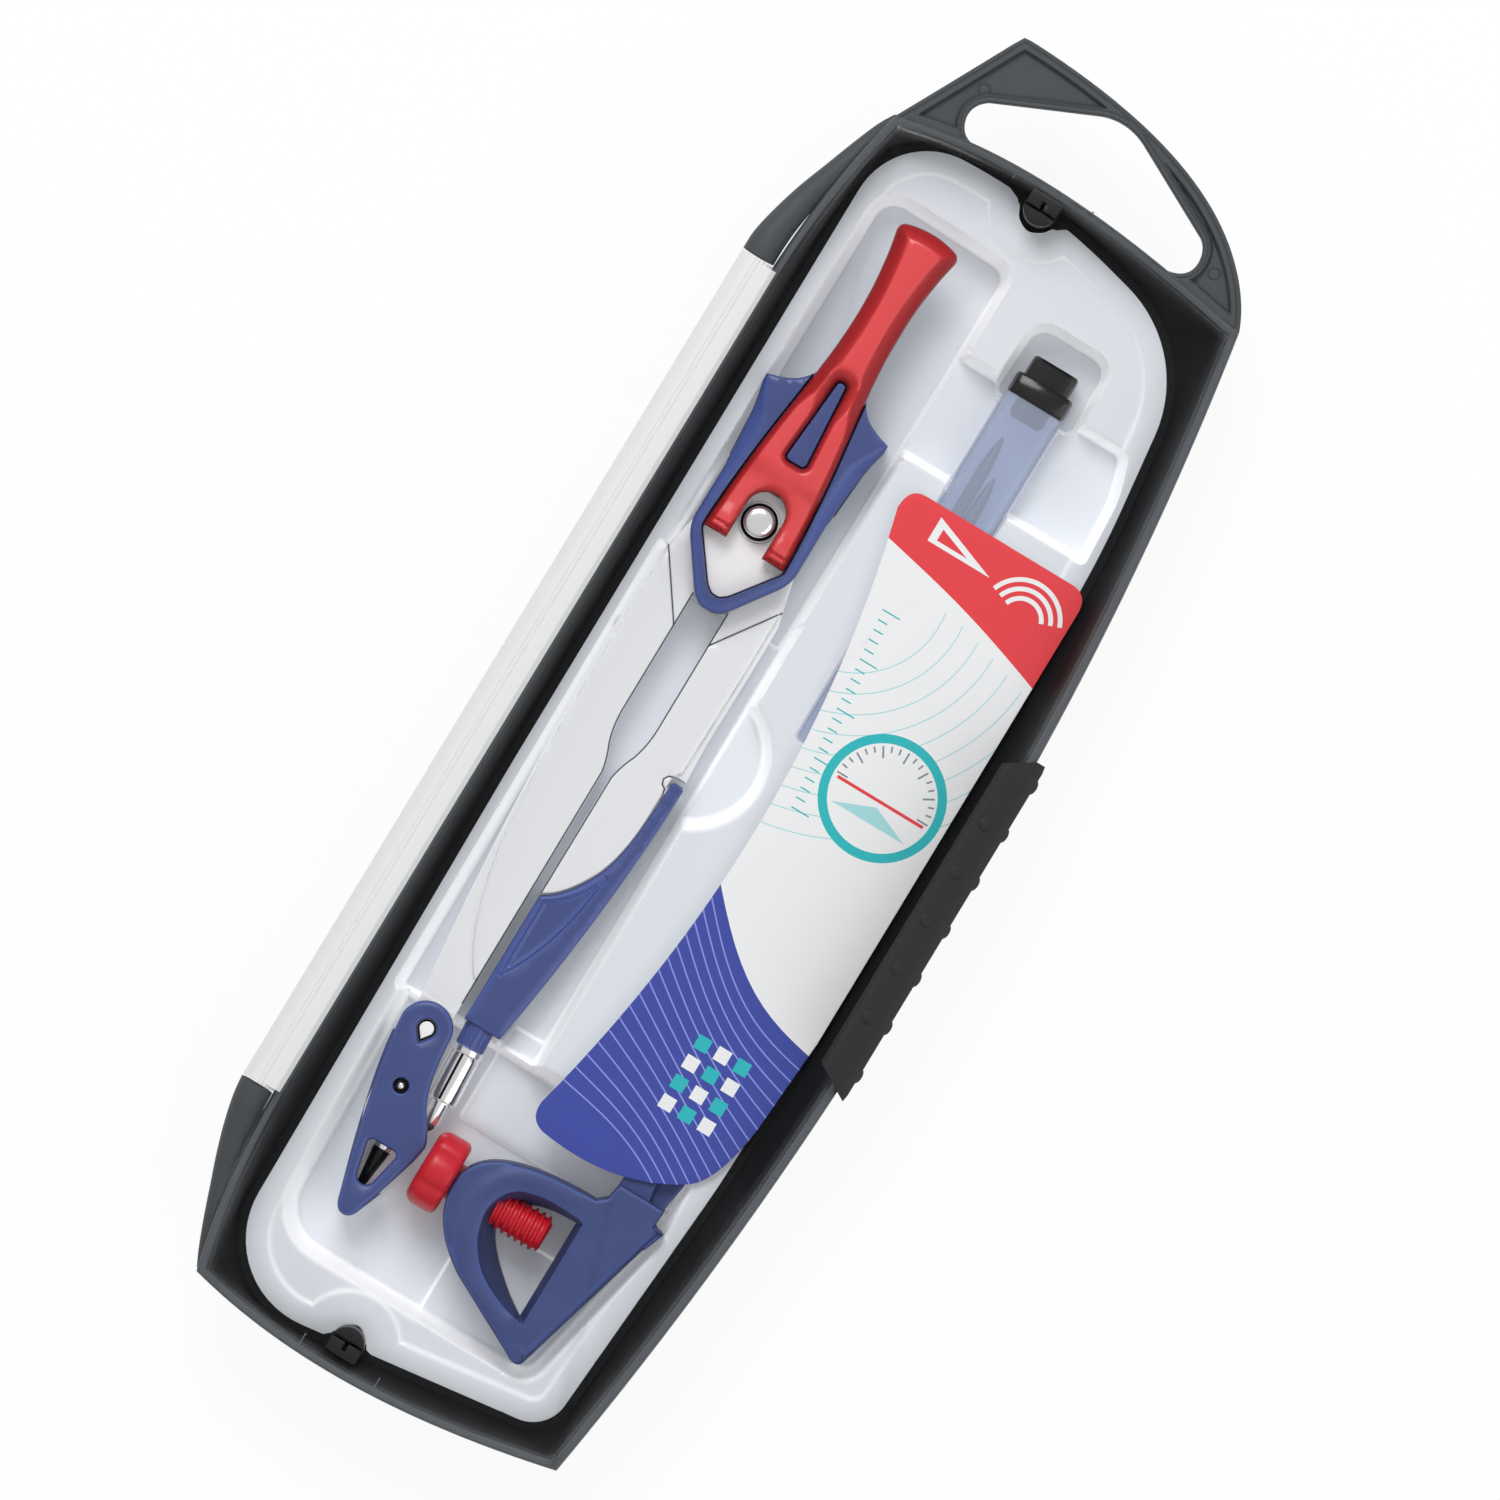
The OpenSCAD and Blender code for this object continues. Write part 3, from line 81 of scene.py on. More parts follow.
def rounded(points, n=7):
    """Outline through points (x, y, radius), each corner turned into an arc of its radius."""
    p = np.asarray(points, float)
    out = []
    for a, b, c in zip(np.roll(p, 1, 0), p, np.roll(p, -1, 0)):
        if b[2] == 0:
            out.append(b[None, :2])
            continue
        u, w = (a - b)[:2], (c - b)[:2]
        u, w = u / np.hypot(*u), w / np.hypot(*w)
        half = math.acos(max(-1, min(1, float(u @ w)))) / 2
        centre = b[:2] + (u + w) / np.hypot(*(u + w)) * b[2] / math.sin(half)
        s, e = b[:2] + u * b[2] / math.tan(half) - centre, b[:2] + w * b[2] / math.tan(half) - centre
        a0, turn = math.atan2(s[1], s[0]), math.atan2(e[1], e[0]) - math.atan2(s[1], s[0])
        turn = (turn + math.pi) % (2 * math.pi) - math.pi
        t = a0 + turn * np.linspace(0, 1, n)
        out.append(centre + b[2] * np.stack([np.cos(t), np.sin(t)], 1))
    return np.vstack(out)


def circle(x, y, r, n=40, a0=0, a1=360):
    """Points on a circle, or on the arc from a0 to a1 degrees."""
    t = np.radians(np.linspace(a0, a1, n, endpoint=a1 - a0 != 360))
    return np.stack([x + r * np.cos(t), y + r * np.sin(t)], 1)


def oblong(x0, y0, x1, y1):
    """Four corners of a box with straight sides."""
    return np.array([[x0, y0], [x1, y0], [x1, y1], [x0, y1]])


def both(half):
    """Closed outline from its right half, listed upwards."""
    return np.vstack([half, (half * [-1, 1])[::-1]])


def stroke(line, width):
    """Outline of a line drawn with a pen of that width."""
    line = np.asarray(line, float)
    t = np.gradient(line, axis=0)
    n = np.stack([-t[:, 1], t[:, 0]], 1) / np.linalg.norm(t, axis=1)[:, None] * width / 2
    return np.vstack([line + n, (line - n)[::-1]])


def area(loop):
    """Signed area: half the sum of the cross products of neighbouring points."""
    x, y = loop.T
    return (x * np.roll(y, -1) - y * np.roll(x, -1)).sum() / 2


def refine(loop, step):
    """The loop, counter-clockwise, without doubled points and with no side longer than step."""
    loop = loop if area(loop) > 0 else loop[::-1]
    loop = loop[np.linalg.norm(loop - np.roll(loop, 1, 0), axis=1) > 1e-3]
    out = []
    for a, b in zip(loop, np.roll(loop, -1, 0)):
        k = max(1, math.ceil(np.hypot(*(b - a)) / step))
        out.append(a + (b - a) * (np.arange(k) / k)[:, None])
    return np.vstack(out)


def ring(loop, d):
    """The loop moved inwards by d, each point along the mean of its two sides' normals."""
    a, b = loop - np.roll(loop, 1, 0), np.roll(loop, -1, 0) - loop
    a, b = (v / np.maximum(np.linalg.norm(v, axis=1), 1e-9)[:, None] for v in (a, b))
    a, b = (np.stack([-v[:, 1], v[:, 0]], 1) for v in (a, b))
    m = a + b
    m /= np.maximum(np.linalg.norm(m, axis=1), 1e-9)[:, None]
    return loop + m * (d / np.maximum((m * a).sum(1), 0.4))[:, None]


def offsets(loop, *distances):
    """The loop moved inwards by each distance."""
    return [ring(loop, d) for d in distances]


def spaced(loop, n=420):
    """n points at even spacing along the loop, from its point nearest +x on the middle line."""
    k = int(np.argmax(loop[:, 0] - np.abs(loop[:, 1]) * 2))
    loop = np.roll(loop, -k, 0)
    closed = np.vstack([loop, loop[:1]])
    s = np.concatenate([[0], np.cumsum(np.linalg.norm(np.diff(closed, axis=0), axis=1))])
    t = np.linspace(0, s[-1], n, endpoint=False)
    return np.stack([np.interp(t, s, closed[:, 0]), np.interp(t, s, closed[:, 1])], 1)


def raised(loop, z):
    """The loop's points at height z."""
    return np.column_stack([loop, np.full(len(loop), z)])


def beside(line, widths):
    """Points close together along a line, moved sideways by each width."""
    line = np.array(line, float)
    corners = len(line) - 1
    k = np.linspace(0, corners, 24 * corners)
    line = np.stack([np.interp(k, np.arange(corners + 1), line[:, i]) for i in (0, 1)], 1)
    slope = np.gradient(line, axis=0)
    side = np.stack([-slope[:, 1], slope[:, 0]], 1) / np.linalg.norm(slope, axis=1)[:, None]
    return [line + side * w for w in widths]


def near(points, line):
    """Distance of each point from a line of straight sides."""
    line = np.asarray(line, float)
    a, ab = line[:-1], np.diff(line, axis=0)
    p = np.asarray(points, float)[:, None, :]
    t = np.clip(((p - a) * ab).sum(2) / (ab**2).sum(1), 0, 1)
    return np.sqrt((((a + ab * t[..., None]) - p) ** 2).sum(2)).min(1)


def inwards(points, loop, reach=4.0):
    """How far each point lies inside the loop, negative outside and at most reach either way: the distance to
    the nearest side, with the sign from how many sides a ray towards +x crosses."""
    points = np.asarray(points, float)
    px, py = points[:, 0], points[:, 1]
    best, inside = np.full(len(points), reach**2), np.zeros(len(points), bool)
    ends = np.roll(loop, -1, 0)
    for i in range(0, len(loop), 10):
        a, b = loop[i:i + 10], ends[i:i + 10]
        low, high = np.minimum(a, b).min(0), np.maximum(a, b).max(0)
        k = np.flatnonzero((py >= low[1]) & (py <= high[1]) & (px <= high[0]))
        x, y = px[k, None], py[k, None]
        rise = np.where(b[:, 1] == a[:, 1], 1, b[:, 1] - a[:, 1])
        met = a[:, 0] + (y - a[:, 1]) / rise * (b[:, 0] - a[:, 0])
        inside[k] ^= (((a[:, 1] > y) != (b[:, 1] > y)) & (x < met)).sum(1) % 2 == 1
        low, high = low - reach, high + reach
        k = np.flatnonzero((px > low[0]) & (px < high[0]) & (py > low[1]) & (py < high[1]))
        x, y = px[k, None] - a[:, 0], py[k, None] - a[:, 1]
        dx, dy = (b - a).T
        t = np.clip((x * dx + y * dy) / np.maximum(dx * dx + dy * dy, 1e-12), 0, 1)
        best[k] = np.minimum(best[k], ((x - dx * t) ** 2 + (y - dy * t) ** 2).min(1))
    return np.where(inside, 1, -1) * np.sqrt(best)


def ease(t):
    """0 to 1 with level ends: 6t^5 - 15t^4 + 10t^3."""
    t = np.clip(t, 0, 1)
    return t * t * t * (t * (6 * t - 15) + 10)


# ---- Pieces ----------------------------------------------------------------------------------


MM = 0.001  # metres in one millimetre


class Piece:
    """Gathers a piece's surfaces, in millimetres, and makes them one mesh object."""

    def __init__(self):
        self.verts, self.faces, self.slots, self.count = [], [], [], 0

    def add(self, verts, faces, slot=0):
        """Takes in a surface; slot is one material number or one per face."""
        faces = np.asarray(faces)
        self.verts.append(np.asarray(verts, float))
        self.faces.append(faces + self.count)
        self.slots.append(np.broadcast_to(np.asarray(slot), (len(faces),)))
        self.count += len(verts)

    def make(self, name, body, materials, replaces=(), slot=None, sharp=38):
        """The mesh object, smooth but for edges over sharp degrees, on its body; slot is not used."""
        whole = np.int32
        mesh = bpy.data.meshes.new(name)
        mesh.vertices.add(self.count)
        mesh.vertices.foreach_set("co", (np.vstack(self.verts) * MM).astype(np.float32).ravel())
        sizes = np.concatenate([np.full(len(f), f.shape[1]) for f in self.faces])
        mesh.loops.add(int(sizes.sum()))
        corners = np.concatenate([f.ravel() for f in self.faces])
        mesh.loops.foreach_set("vertex_index", corners.astype(whole))
        mesh.polygons.add(len(sizes))
        mesh.polygons.foreach_set("loop_start", (np.cumsum(sizes) - sizes).astype(whole))
        mesh.polygons.foreach_set("material_index", np.concatenate(self.slots).astype(whole))
        mesh.update(calc_edges=True)
        mesh.validate()
        mesh.shade_smooth()
        mesh.set_sharp_from_angle(angle=math.radians(sharp))
        for material in materials:
            mesh.materials.append(material)
        obj = bpy.data.objects.new(name, mesh)
        bpy.context.scene.collection.objects.link(obj)
        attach(obj, body)
        if replaces:
            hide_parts(*replaces)
        return obj


def cover(piece, rim, up=True, slot=0):
    """Fan of triangles from a rim to its middle, facing up where the rim runs counter-clockwise."""
    n = len(rim)
    fan = np.stack([np.arange(n), np.roll(np.arange(n), -1), np.full(n, n)], 1)
    piece.add(np.vstack([rim, rim.mean(0)]), fan if up else fan[:, [1, 0, 2]], slot)


def rings(piece, loops, slot=0, closed=True, caps=True, place=None):
    """Skin through loops of equal length (k, n, 3), with a fan on each end if caps."""
    loops = np.asarray(loops, float)
    k, n = loops.shape[:2]
    i, j = np.meshgrid(np.arange(k - 1), np.arange(n if closed else n - 1), indexing="ij")
    a, b = i * n + j, i * n + (j + 1) % n
    quads = np.stack([a, b, b + n, a + n], -1).reshape(-1, 4)
    verts = loops.reshape(-1, 3)
    if place is not None:
        verts = place(verts)
    piece.add(verts, quads, slot)
    for end, up in ((0, False), (-1, True)) if caps else ():
        cover(piece, verts.reshape(k, n, 3)[end], up, slot)


def frame_at(origin, axis, up=(0, 0, 1)):
    """Function that turns local (x, y, z) into a place whose z runs along axis from origin."""
    z = np.array(axis, float) / np.linalg.norm(axis)
    x = np.cross(up if abs(np.dot(z, up)) < 0.9 else (0, 1, 0), z)
    x /= np.linalg.norm(x)
    basis = np.stack([x, np.cross(z, x), z])
    return lambda v: np.asarray(v) @ basis + np.asarray(origin, float)


def lathe(piece, profile, origin, axis=(0, 0, 1), slot=0, n=48, caps=True):
    """Profile of (radius, height) points turned about axis through origin."""
    t = np.linspace(0, 2 * np.pi, n, endpoint=False)
    loops = [np.stack([r * np.cos(t), r * np.sin(t), np.full(n, h)], 1) for r, h in profile]
    rings(piece, loops, slot, caps=caps, place=frame_at(origin, axis))


def extrude(piece, section, y0, y1, slot=0):
    """Section of (x, z) points, counter-clockwise seen from -y, drawn from y0 to y1."""
    section = np.asarray(section, float)
    loops = [np.stack([section[:, 0], np.full(len(section), y), section[:, 1]], 1) for y in (y1, y0)]
    rings(piece, loops, slot)


def slab(piece, outline, top, bottom, cuts=(), edge=0.3, low=0.2, wells=(), shape=None, sheet=None,
         step=0.6, grid=2.0, slot=0, paint=(), soften=0.0, extra=()):
    """Solid between two heights inside an outline. Its upper and lower edges are quarter rounds: z falls by
    r - sqrt(r^2 - (r - d)^2) where d is the distance to the edge. A well is (loop, floor, run): the top eases
    down to its floor over that run of its wall, and the deepest well wins, or a soft minimum of them. shape
    changes the top heights, sheet makes the underside follow the top, paint gives loops their own slot, and
    extra lists further points that the surface needs."""
    loops = [refine(np.asarray(l, float), step) for l in (outline, *cuts)]
    turns = [1] + [-1] * len(cuts)
    painted = [refine(np.asarray(l, float), step) for l, _ in paint]
    points, edges, count = loops + painted, [], 0
    for l in points:
        k = np.arange(len(l))
        edges.append(np.stack([k, np.roll(k, -1)], 1) + count)
        count += len(l)
    # points where the surface bends: the edge rounds, the wells' walls and what the caller adds
    free = [np.asarray(e, float) for e in extra]
    for r in {edge, low} - {0}:
        for d in r * (1 - np.cos(np.radians((22, 45, 67, 90)))):
            free += [ring(l, d * s) for l, s in zip(loops, turns)]
    rims = [refine(np.asarray(loop, float), max(step, run * 0.4)) for loop, _, run in wells]
    for loop, (_, _, run) in zip(rims, wells):
        free += offsets(loop, *(s * run for s in (-0.12, 0, 0.15, 0.32, 0.5, 0.68, 0.85, 1, 1.12)))
    free = np.vstack(free + [lattice(loops[0], grid, np.vstack(points + free))])

    def depth(p):
        """How deep p lies inside the outline and outside every cut."""
        return np.min([inwards(p, l) * s for l, s in zip(loops, turns)], 0)

    free = free[depth(free) > 0.012]
    free = free[np.unique(np.round(free, 3), axis=0, return_index=True)[1]]
    places = [Vector(v) for v in np.vstack(points + [free]).tolist()]
    made = delaunay_2d_cdt(places, np.vstack(edges).tolist(), [], 0, 1e-5, False)
    p, tri = np.array([tuple(v) for v in made[0]]), np.array(made[2])
    q = p[tri]
    turn = np.cross(q[:, 1] - q[:, 0], q[:, 2] - q[:, 0])
    tri = np.where(turn[:, None] < 0, tri[:, ::-1], tri)
    middle = q.mean(1)
    keep = (depth(middle) > 0) & (np.abs(turn) > 1e-9)
    tri, middle = tri[keep], middle[keep]
    used, tri = np.unique(tri, return_inverse=True)
    tri, p = tri.reshape(-1, 3), p[used]
    d = np.maximum(depth(p), 0)

    def fall(r):
        """Drop of a quarter round of radius r at depth d."""
        return r - np.sqrt(np.maximum(r * r - (r - np.minimum(d, r)) ** 2, 0)) if r else 0 * d

    z = top - fall(edge)
    start = z.copy()
    for loop, (_, floor, run) in zip(rims, wells):
        well = start + (floor - start) * ease(inwards(p, loop) / run)
        if soften:
            h = np.clip(0.5 + 0.5 * (z - well) / soften, 0, 1)
            z = z * (1 - h) + well * h - soften * h * (1 - h)
        else:
            z = np.minimum(z, well)
    if shape:
        z = shape(p[:, 0], p[:, 1], d, z)
    under = z - sheet if sheet else bottom + fall(low)
    slots = np.full(len(tri), slot)
    for loop, (_, number) in zip(painted, paint):
        slots[inwards(middle, loop) > 0] = number
    upper, lower = np.column_stack([p, z]), np.column_stack([p, np.minimum(under, z)])
    piece.add(upper, tri, slots)
    piece.add(lower, tri[:, ::-1], slot)
    # walls: from each side that only one triangle has
    pairs = np.vstack([tri[:, [0, 1]], tri[:, [1, 2]], tri[:, [2, 0]]])
    n = len(p)
    rim = pairs[~np.isin(pairs[:, 0] * n + pairs[:, 1], pairs[:, 1] * n + pairs[:, 0])]
    walls = np.stack([rim[:, 1], rim[:, 0], rim[:, 0] + n, rim[:, 1] + n], 1)
    piece.add(np.vstack([upper, lower]), walls[:, ::-1], slot)


def lattice(outline, grid, taken):
    """Points on a triangular lattice over the outline's box, but for the cells that hold a taken point."""
    low, high = outline.min(0), outline.max(0)
    x, y = np.meshgrid(np.arange(low[0], high[0], grid), np.arange(low[1], high[1], grid * 0.87))
    x = x + (np.arange(x.shape[0]) % 2)[:, None] * grid / 2
    points = np.stack([x.ravel(), y.ravel()], 1)
    cells = {tuple(c) for c in np.floor(taken / (grid * 0.5)).astype(int).tolist()}
    cell = np.floor(points / (grid * 0.5)).astype(int).tolist()
    return points[[tuple(c) not in cells for c in cell]]


# ---- Materials -------------------------------------------------------------------------------

# z of the normal where a face still counts as level, and where it leans in full, for painted shade and glow by
# how a face leans
LEVEL_Z, LEAN_Z = 0.985, 0.5


def colour(code):
    """Linear RGBA from an sRGB hex code: c/12.92 below 0.04045, else ((c + 0.055)/1.055)^2.4. A colour that
    comes from the properties is linear already."""
    if not isinstance(code, str):
        return (*code, 1.0)
    c = np.array([int(code[i:i + 2], 16) for i in (1, 3, 5)]) / 255
    return (*np.where(c <= 0.04045, c / 12.92, ((c + 0.055) / 1.055) ** 2.4).tolist(), 1.0)


def tint(code, k, white=0.0):
    """A shade of a colour: k times as bright, then mixed with that share of white."""
    c = np.minimum(np.array(colour(code)[:3]) * k, 1)
    return (*(c + (1 - c) * white).tolist(), 1.0)


def add(tree, kind, settings=None, **inputs):
    """A node with its own settings; an input's value is a constant or the socket that feeds it, and its name
    is the socket's name, or i and a number."""
    node = tree.nodes.new("ShaderNode" + kind)
    for name, value in (settings or {}).items():
        setattr(node, name, value)
    for name, value in inputs.items():
        socket = node.inputs[int(name[1:]) if name[1:].isdigit() else name.replace("_", " ")]
        if isinstance(value, bpy.types.NodeSocket):
            tree.links.new(value, socket)
        else:
            socket.default_value = value
    return node


def empty(name):
    """A material with an empty node tree."""
    m = bpy.data.materials.new(name)
    m.use_nodes = True
    m.node_tree.nodes.clear()
    return m


def material(name, code, rough, metal=0.0, level=0.5, grain=None, vary=None, glow=0.0, slopes=(),
             lean_glow=0.0):
    """Principled surface. grain is (size, depth) in millimetres of an even bump; vary is (size in
    millimetres, second colour) for a slow drift of the colour; glow is painted light, an emission of the
    surface's own colour; slopes lists (z of the normal, brightness, white) stops, as tint takes them, of
    painted shade and painted highlight by how far a face leans, and lean_glow is the painted glow of those
    that lean most."""
    m = empty(name)
    tree = m.node_tree
    place = add(tree, "TexCoord").outputs
    node = add(tree, "BsdfPrincipled", Base_Color=colour(code), Roughness=rough, Metallic=metal,
               Specular_IOR_Level=level)
    skin = node.inputs
    if grain:
        noise = add(tree, "TexNoise", Vector=place["Object"], Scale=1 / (grain[0] * MM), Detail=2.0)
        bump = add(tree, "Bump", Height=noise.outputs["Fac"], Strength=1.0, Distance=grain[1] * MM)
        tree.links.new(bump.outputs["Normal"], skin["Normal"])
    # painted glow: light given off in the surface's own colour
    if glow:
        skin["Emission Color"].default_value = colour(code)
        skin["Emission Strength"].default_value = glow
    # painted shade and highlight: the colour follows how far the face leans
    if slopes:
        up = add(tree, "SeparateXYZ", Vector=place["Normal"])
        ramp = add(tree, "ValToRGB", Fac=up.outputs["Z"])
        stops = ramp.color_ramp.elements
        for i, (height, k, white) in enumerate(slopes):
            stop = stops[i] if i < 2 else stops.new(height)
            stop.position, stop.color = height, tint(code, k, white)
        tree.links.new(ramp.outputs[0], skin["Base Color"])
        if lean_glow:
            lean = add(tree, "MapRange", Value=up.outputs["Z"], From_Min=LEVEL_Z, From_Max=LEAN_Z, To_Min=glow,
                       To_Max=lean_glow)
            tree.links.new(ramp.outputs[0], skin["Emission Color"])
            tree.links.new(lean.outputs[0], skin["Emission Strength"])
    if vary:
        drift = add(tree, "TexNoise", Vector=place["Object"], Scale=1 / (vary[0] * MM), Detail=3.0)
        share = drift.outputs["Fac"]
        if slopes:
            share = add(tree, "Math", {"operation": "MULTIPLY"}, i0=share, i1=0.55).outputs[0]
        first = ramp.outputs[0] if slopes else colour(code)
        mix = add(tree, "Mix", {"data_type": "RGBA"}, Factor=share, A=first, B=colour(vary[1]))
        tree.links.new(mix.outputs["Result"], skin["Base Color"])
    add(tree, "OutputMaterial", Surface=node.outputs[0])
    return m


def clear(name, code, gloss, rough, haze=0.0, milk="#ffffff", glow=0.0):
    """Thin clear plastic: what lies behind shows through its tint, with a reflection that grows towards
    grazing angles and a little haze of its own milk colour, which may glow as painted light."""
    m = empty(name)
    tree = m.node_tree
    through = add(tree, "BsdfTransparent", Color=colour(code))
    shine = add(tree, "BsdfGlossy", Roughness=rough)
    white = add(tree, "BsdfDiffuse", Color=colour(milk))
    facing = add(tree, "LayerWeight", Blend=0.35)
    scale = add(tree, "Math", {"operation": "MULTIPLY"}, i0=facing.outputs["Fresnel"], i1=gloss)
    glowing = add(tree, "Emission", Color=colour(milk), Strength=glow)
    lit = add(tree, "AddShader", i0=white.outputs[0], i1=glowing.outputs[0])
    first = add(tree, "MixShader", Fac=haze, i1=through.outputs[0], i2=lit.outputs[0])
    second = add(tree, "MixShader", Fac=scale.outputs[0], i1=first.outputs[0], i2=shine.outputs[0])
    add(tree, "OutputMaterial", Surface=second.outputs[0])
    return m


# ---- Sizes and outlines of the object ----------------------------------------------------------

HINGE_X, HINGE_Z, BARREL_R = -36.7, 19.2, 2.6
BARREL = (-79.6, 62.7)
BASE_H, LEDGE_Z, TRAY_Z = 19.0, 11.0, 11.8
RIVET = np.array([-16.3, 29.6])
RIVET_HOLE = 1.55
HUB_R = 8.6
LEGS_Z, LEG_TOP = 4.0, 9.6
CHANNEL_Z, SHIELD_Z, PLATE_Z = 11.1, 14.3, 11.3
GUARD = RIVET + [-3.5, -89.8]
GUARD_Z, GUARD_TOP = 4.9, 11.5
ARM_PIN = RIVET + [9.2, -41.2]
COLLET_TILT = math.radians(3.2)
COLLET = (RIVET[0] + 3.35, RIVET[1] - 85.7, 6.8)
COLLET_AXIS = (math.sin(COLLET_TILT), -math.cos(COLLET_TILT), 0)
TUBE_X, TUBE_Y, TUBE_Z = 9.65, 65.5, 7.4
TUBE_FOOT = 5.5
CARD_Z, CARD_THICK = 12.6, 0.5
SCREW = (-4.8, -77.5, 9.3)
KNOB_R, THREAD_PITCH, THREAD_END = 6.15, 1.15, 16.3

BODY = refine(join(
    bend([-30.1, -108.2], [-4.6, -114.5], [30.7, -105.9], 30),
    bend([30.7, -105.9], [38, -58], [37.6, -8], 30),
    bend([37.6, -8], [38.2, 42], [29.9, 90.1], 30),
    bend([29.9, 90.1], [-9.2, 98.1], [-30.2, 91.2], 30),
    bend([-30.2, 91.2], [-33.9, 76.6], [-34.1, 60.7], 16),
    bend([-34.1, -77.6], [-34, -94.1], [-30.1, -108.2], 16)), 1.5)
TAB = join(
    bend([-30.2, 91.2], [-25.5, 100.1], [-20.2, 110.4], 16), [-19.8, 111], [-18.8, 111.1],
    bend([-17.7, 111.1], [12, 110.3], [24, 98.6], 24), bend([24, 98.6], [28.2, 94.6], [29.9, 90.1], 12),
    [[29.9, 90.1], [26.9, 87.6], [-27.2, 87.6]])
TAB_MARKS = ((-21, 101.5), (22.2, 95.8))
HOLE = join(
    bend([-18, 93.6], [-4.6, 95.4], [16, 92.5], 16), bend([16, 92.5], [19.4, 93], [19.4, 96], 8),
    bend([19.4, 96], [19.3, 98.5], [17.4, 99.5], 8), bend([4, 106.4], [0, 108.6], [-4, 107.1], 12),
    bend([-4, 107.1], [-12, 103.5], [-19.3, 100.2], 4),
    bend([-19.3, 100.2], [-21.2, 98.9], [-21.1, 96.9], 8), bend([-21.1, 96.9], [-20.7, 93.8], [-18, 93.6], 8))
TRAY = rounded([
    (-28.4, -109.7, 14), (26.8, -102.3, 6), (29.8, -58, 150), (30.9, 0, 300), (29.8, 52, 150),
    (25.8, 84.7, 20), (-4.6, 92.2, 90), (-29.5, 90.9, 12), (-29.5, -20, 300)], 16)
# snap posts: x, y and the side of the case that they stand on
POSTS = ((-4.6, 90.7, 1), (-5.5, -106, -1))


def at(loop, where=RIVET):
    """The loop moved to its place, which is the compass's rivet unless another is named."""
    return np.asarray(loop, float) + where


SHIELD = at(both(join(
    [0, -15.1], bend([0.6, -15.1], [2.3, -14.9], [3.8, -12.6], 8),
    bend([7.5, -7.4], [8.8, -5.6], [8.8, -3.4], 8), [8.75, 4.8], bend([8.9, 5.6], [9, 13], [10.7, 19.2], 14),
    [10.5, 19.45], bend([9.7, 19.7], [4.8, 20.9], [4, 24.5], 14), [3.8, 27])))
PLATE = at(both(join(
    [0, -12.6], bend([0.5, -12.6], [1.4, -12.2], [2.2, -11.2], 6), [6.7, -5.1], [6.9, -4.3], [6.5, -2],
    [6.2, 4.6])))
BRIDGE = at(both(join([9.1, 6.5], [9.6, 14], bend([10.5, 19.3], [9.5, 19.6], [7, 20.3], 8), [4, 23])))
HANDLE = at(rounded([(-3.7, 18, 0.5), (3.7, 18, 0.5), (3.5, 44, 3), (-3.5, 44, 3)], 9))
LEVER = at(both(join(
    smooth([[6.9, -4.5], [6.85, -2.1], [6.45, 4.2], [5.75, 11.4], [5.0, 17.4], [4.3, 23.3], [3.75, 29],
            [3.57, 34], [3.75, 39], [4.35, 44], [5.05, 47.6]], 4),
    bend([5.05, 47.8], [5.1, 48.7], [4.2, 49.1], 6), bend([4.2, 49.1], [2.2, 49.7], [0, 49.75], 6))))
LEVER_SLOT = at(rounded([(-1.9, 9.9, 0.9), (1.9, 9.9, 0.9), (0.8, 24, 0.72), (-0.8, 24, 0.72)], 10))
LEVER_NOTCH = at(join(circle(0, 1.6, 3.08, 40, 0, 180), [[-3.08, -6], [3.08, -6]]))
# the legs' edges, from the rivet: towards the gap between them, and away from it
INNER = join(bend([-2.9, -34], [-2.9, -37], [-2, -39.6], 10),
             bend([-2, -39.6], [-0.9, -42], [-0.65, -44.2], 10))
OUTER = join(bend([-6.7, -86], [-9.9, -58], [-10.4, -32], 24),
             bend([-10.4, -32], [-10.6, -20], [-10.5, -10.4], 14), [[-9.85, -9.4], [-9.7, -8.6]])
OUTER_UP = 24  # points of OUTER below the arm
MIRROR = np.array([-1, 1])
CRESCENT = join(bend([0.65, -63.9], [3.6, -62.6], [6.4, -57.2], 14),
                bend([6.4, -57.2], [8.6, -52.6], [8.6, -44.2], 14))
LEG_LEFT = join([-2.9, -7], INNER, [[-0.65, -44.2], [-0.65, -86]], OUTER, [[-8.6, -4], [-7, -3]])
LEG_RIGHT = join(
    [[2.9, -7], [7, -3], [8.6, -4]], (OUTER[OUTER_UP:] * MIRROR)[::-1],
    [[10.4, -32], [10.7, -38.9], [8.6, -38.9]], CRESCENT[::-1], [0.65, -44.2], (INNER * MIRROR)[::-1])
FACE_LEFT = join(
    [[-2.4, -5], [-2.4, -34]], INNER + [0.5, 0], [[-0.15, -46], [-0.15, -79.8]],
    bend([-1.2, -79.9], [-6.2, -74], [-8.3, -60], 16), bend([-8.3, -60], [-9.65, -48], [-9.75, -32], 12),
    [[-9.85, -20], [-9.75, -9.7], [-8.8, -5]])
FACE_RIGHT = join(
    [2.4, -5], [[8.8, -5], [9.75, -9.7], [9.8, -20], [9.55, -38.0], [9.1, -38.3]],
    (CRESCENT + [0.5, -0.5])[::-1], [[0.15, -64.6], [0.15, -46]], (INNER * MIRROR - [0.5, 0])[::-1])
INNER_EDGE = join([-2.9, -14], INNER, [[-0.65, -60], [-0.65, -84]])
CHEVRON = np.array([[-9.9, -9.7], [-2.85, -19.8]])
HOOK = at([[10.9, -38.95], [8.9, -38.9], [8.0, -39.2], [7.55, -39.9], [7.8, -40.7], [8.4, -41.1], [8.7, -41.9]])
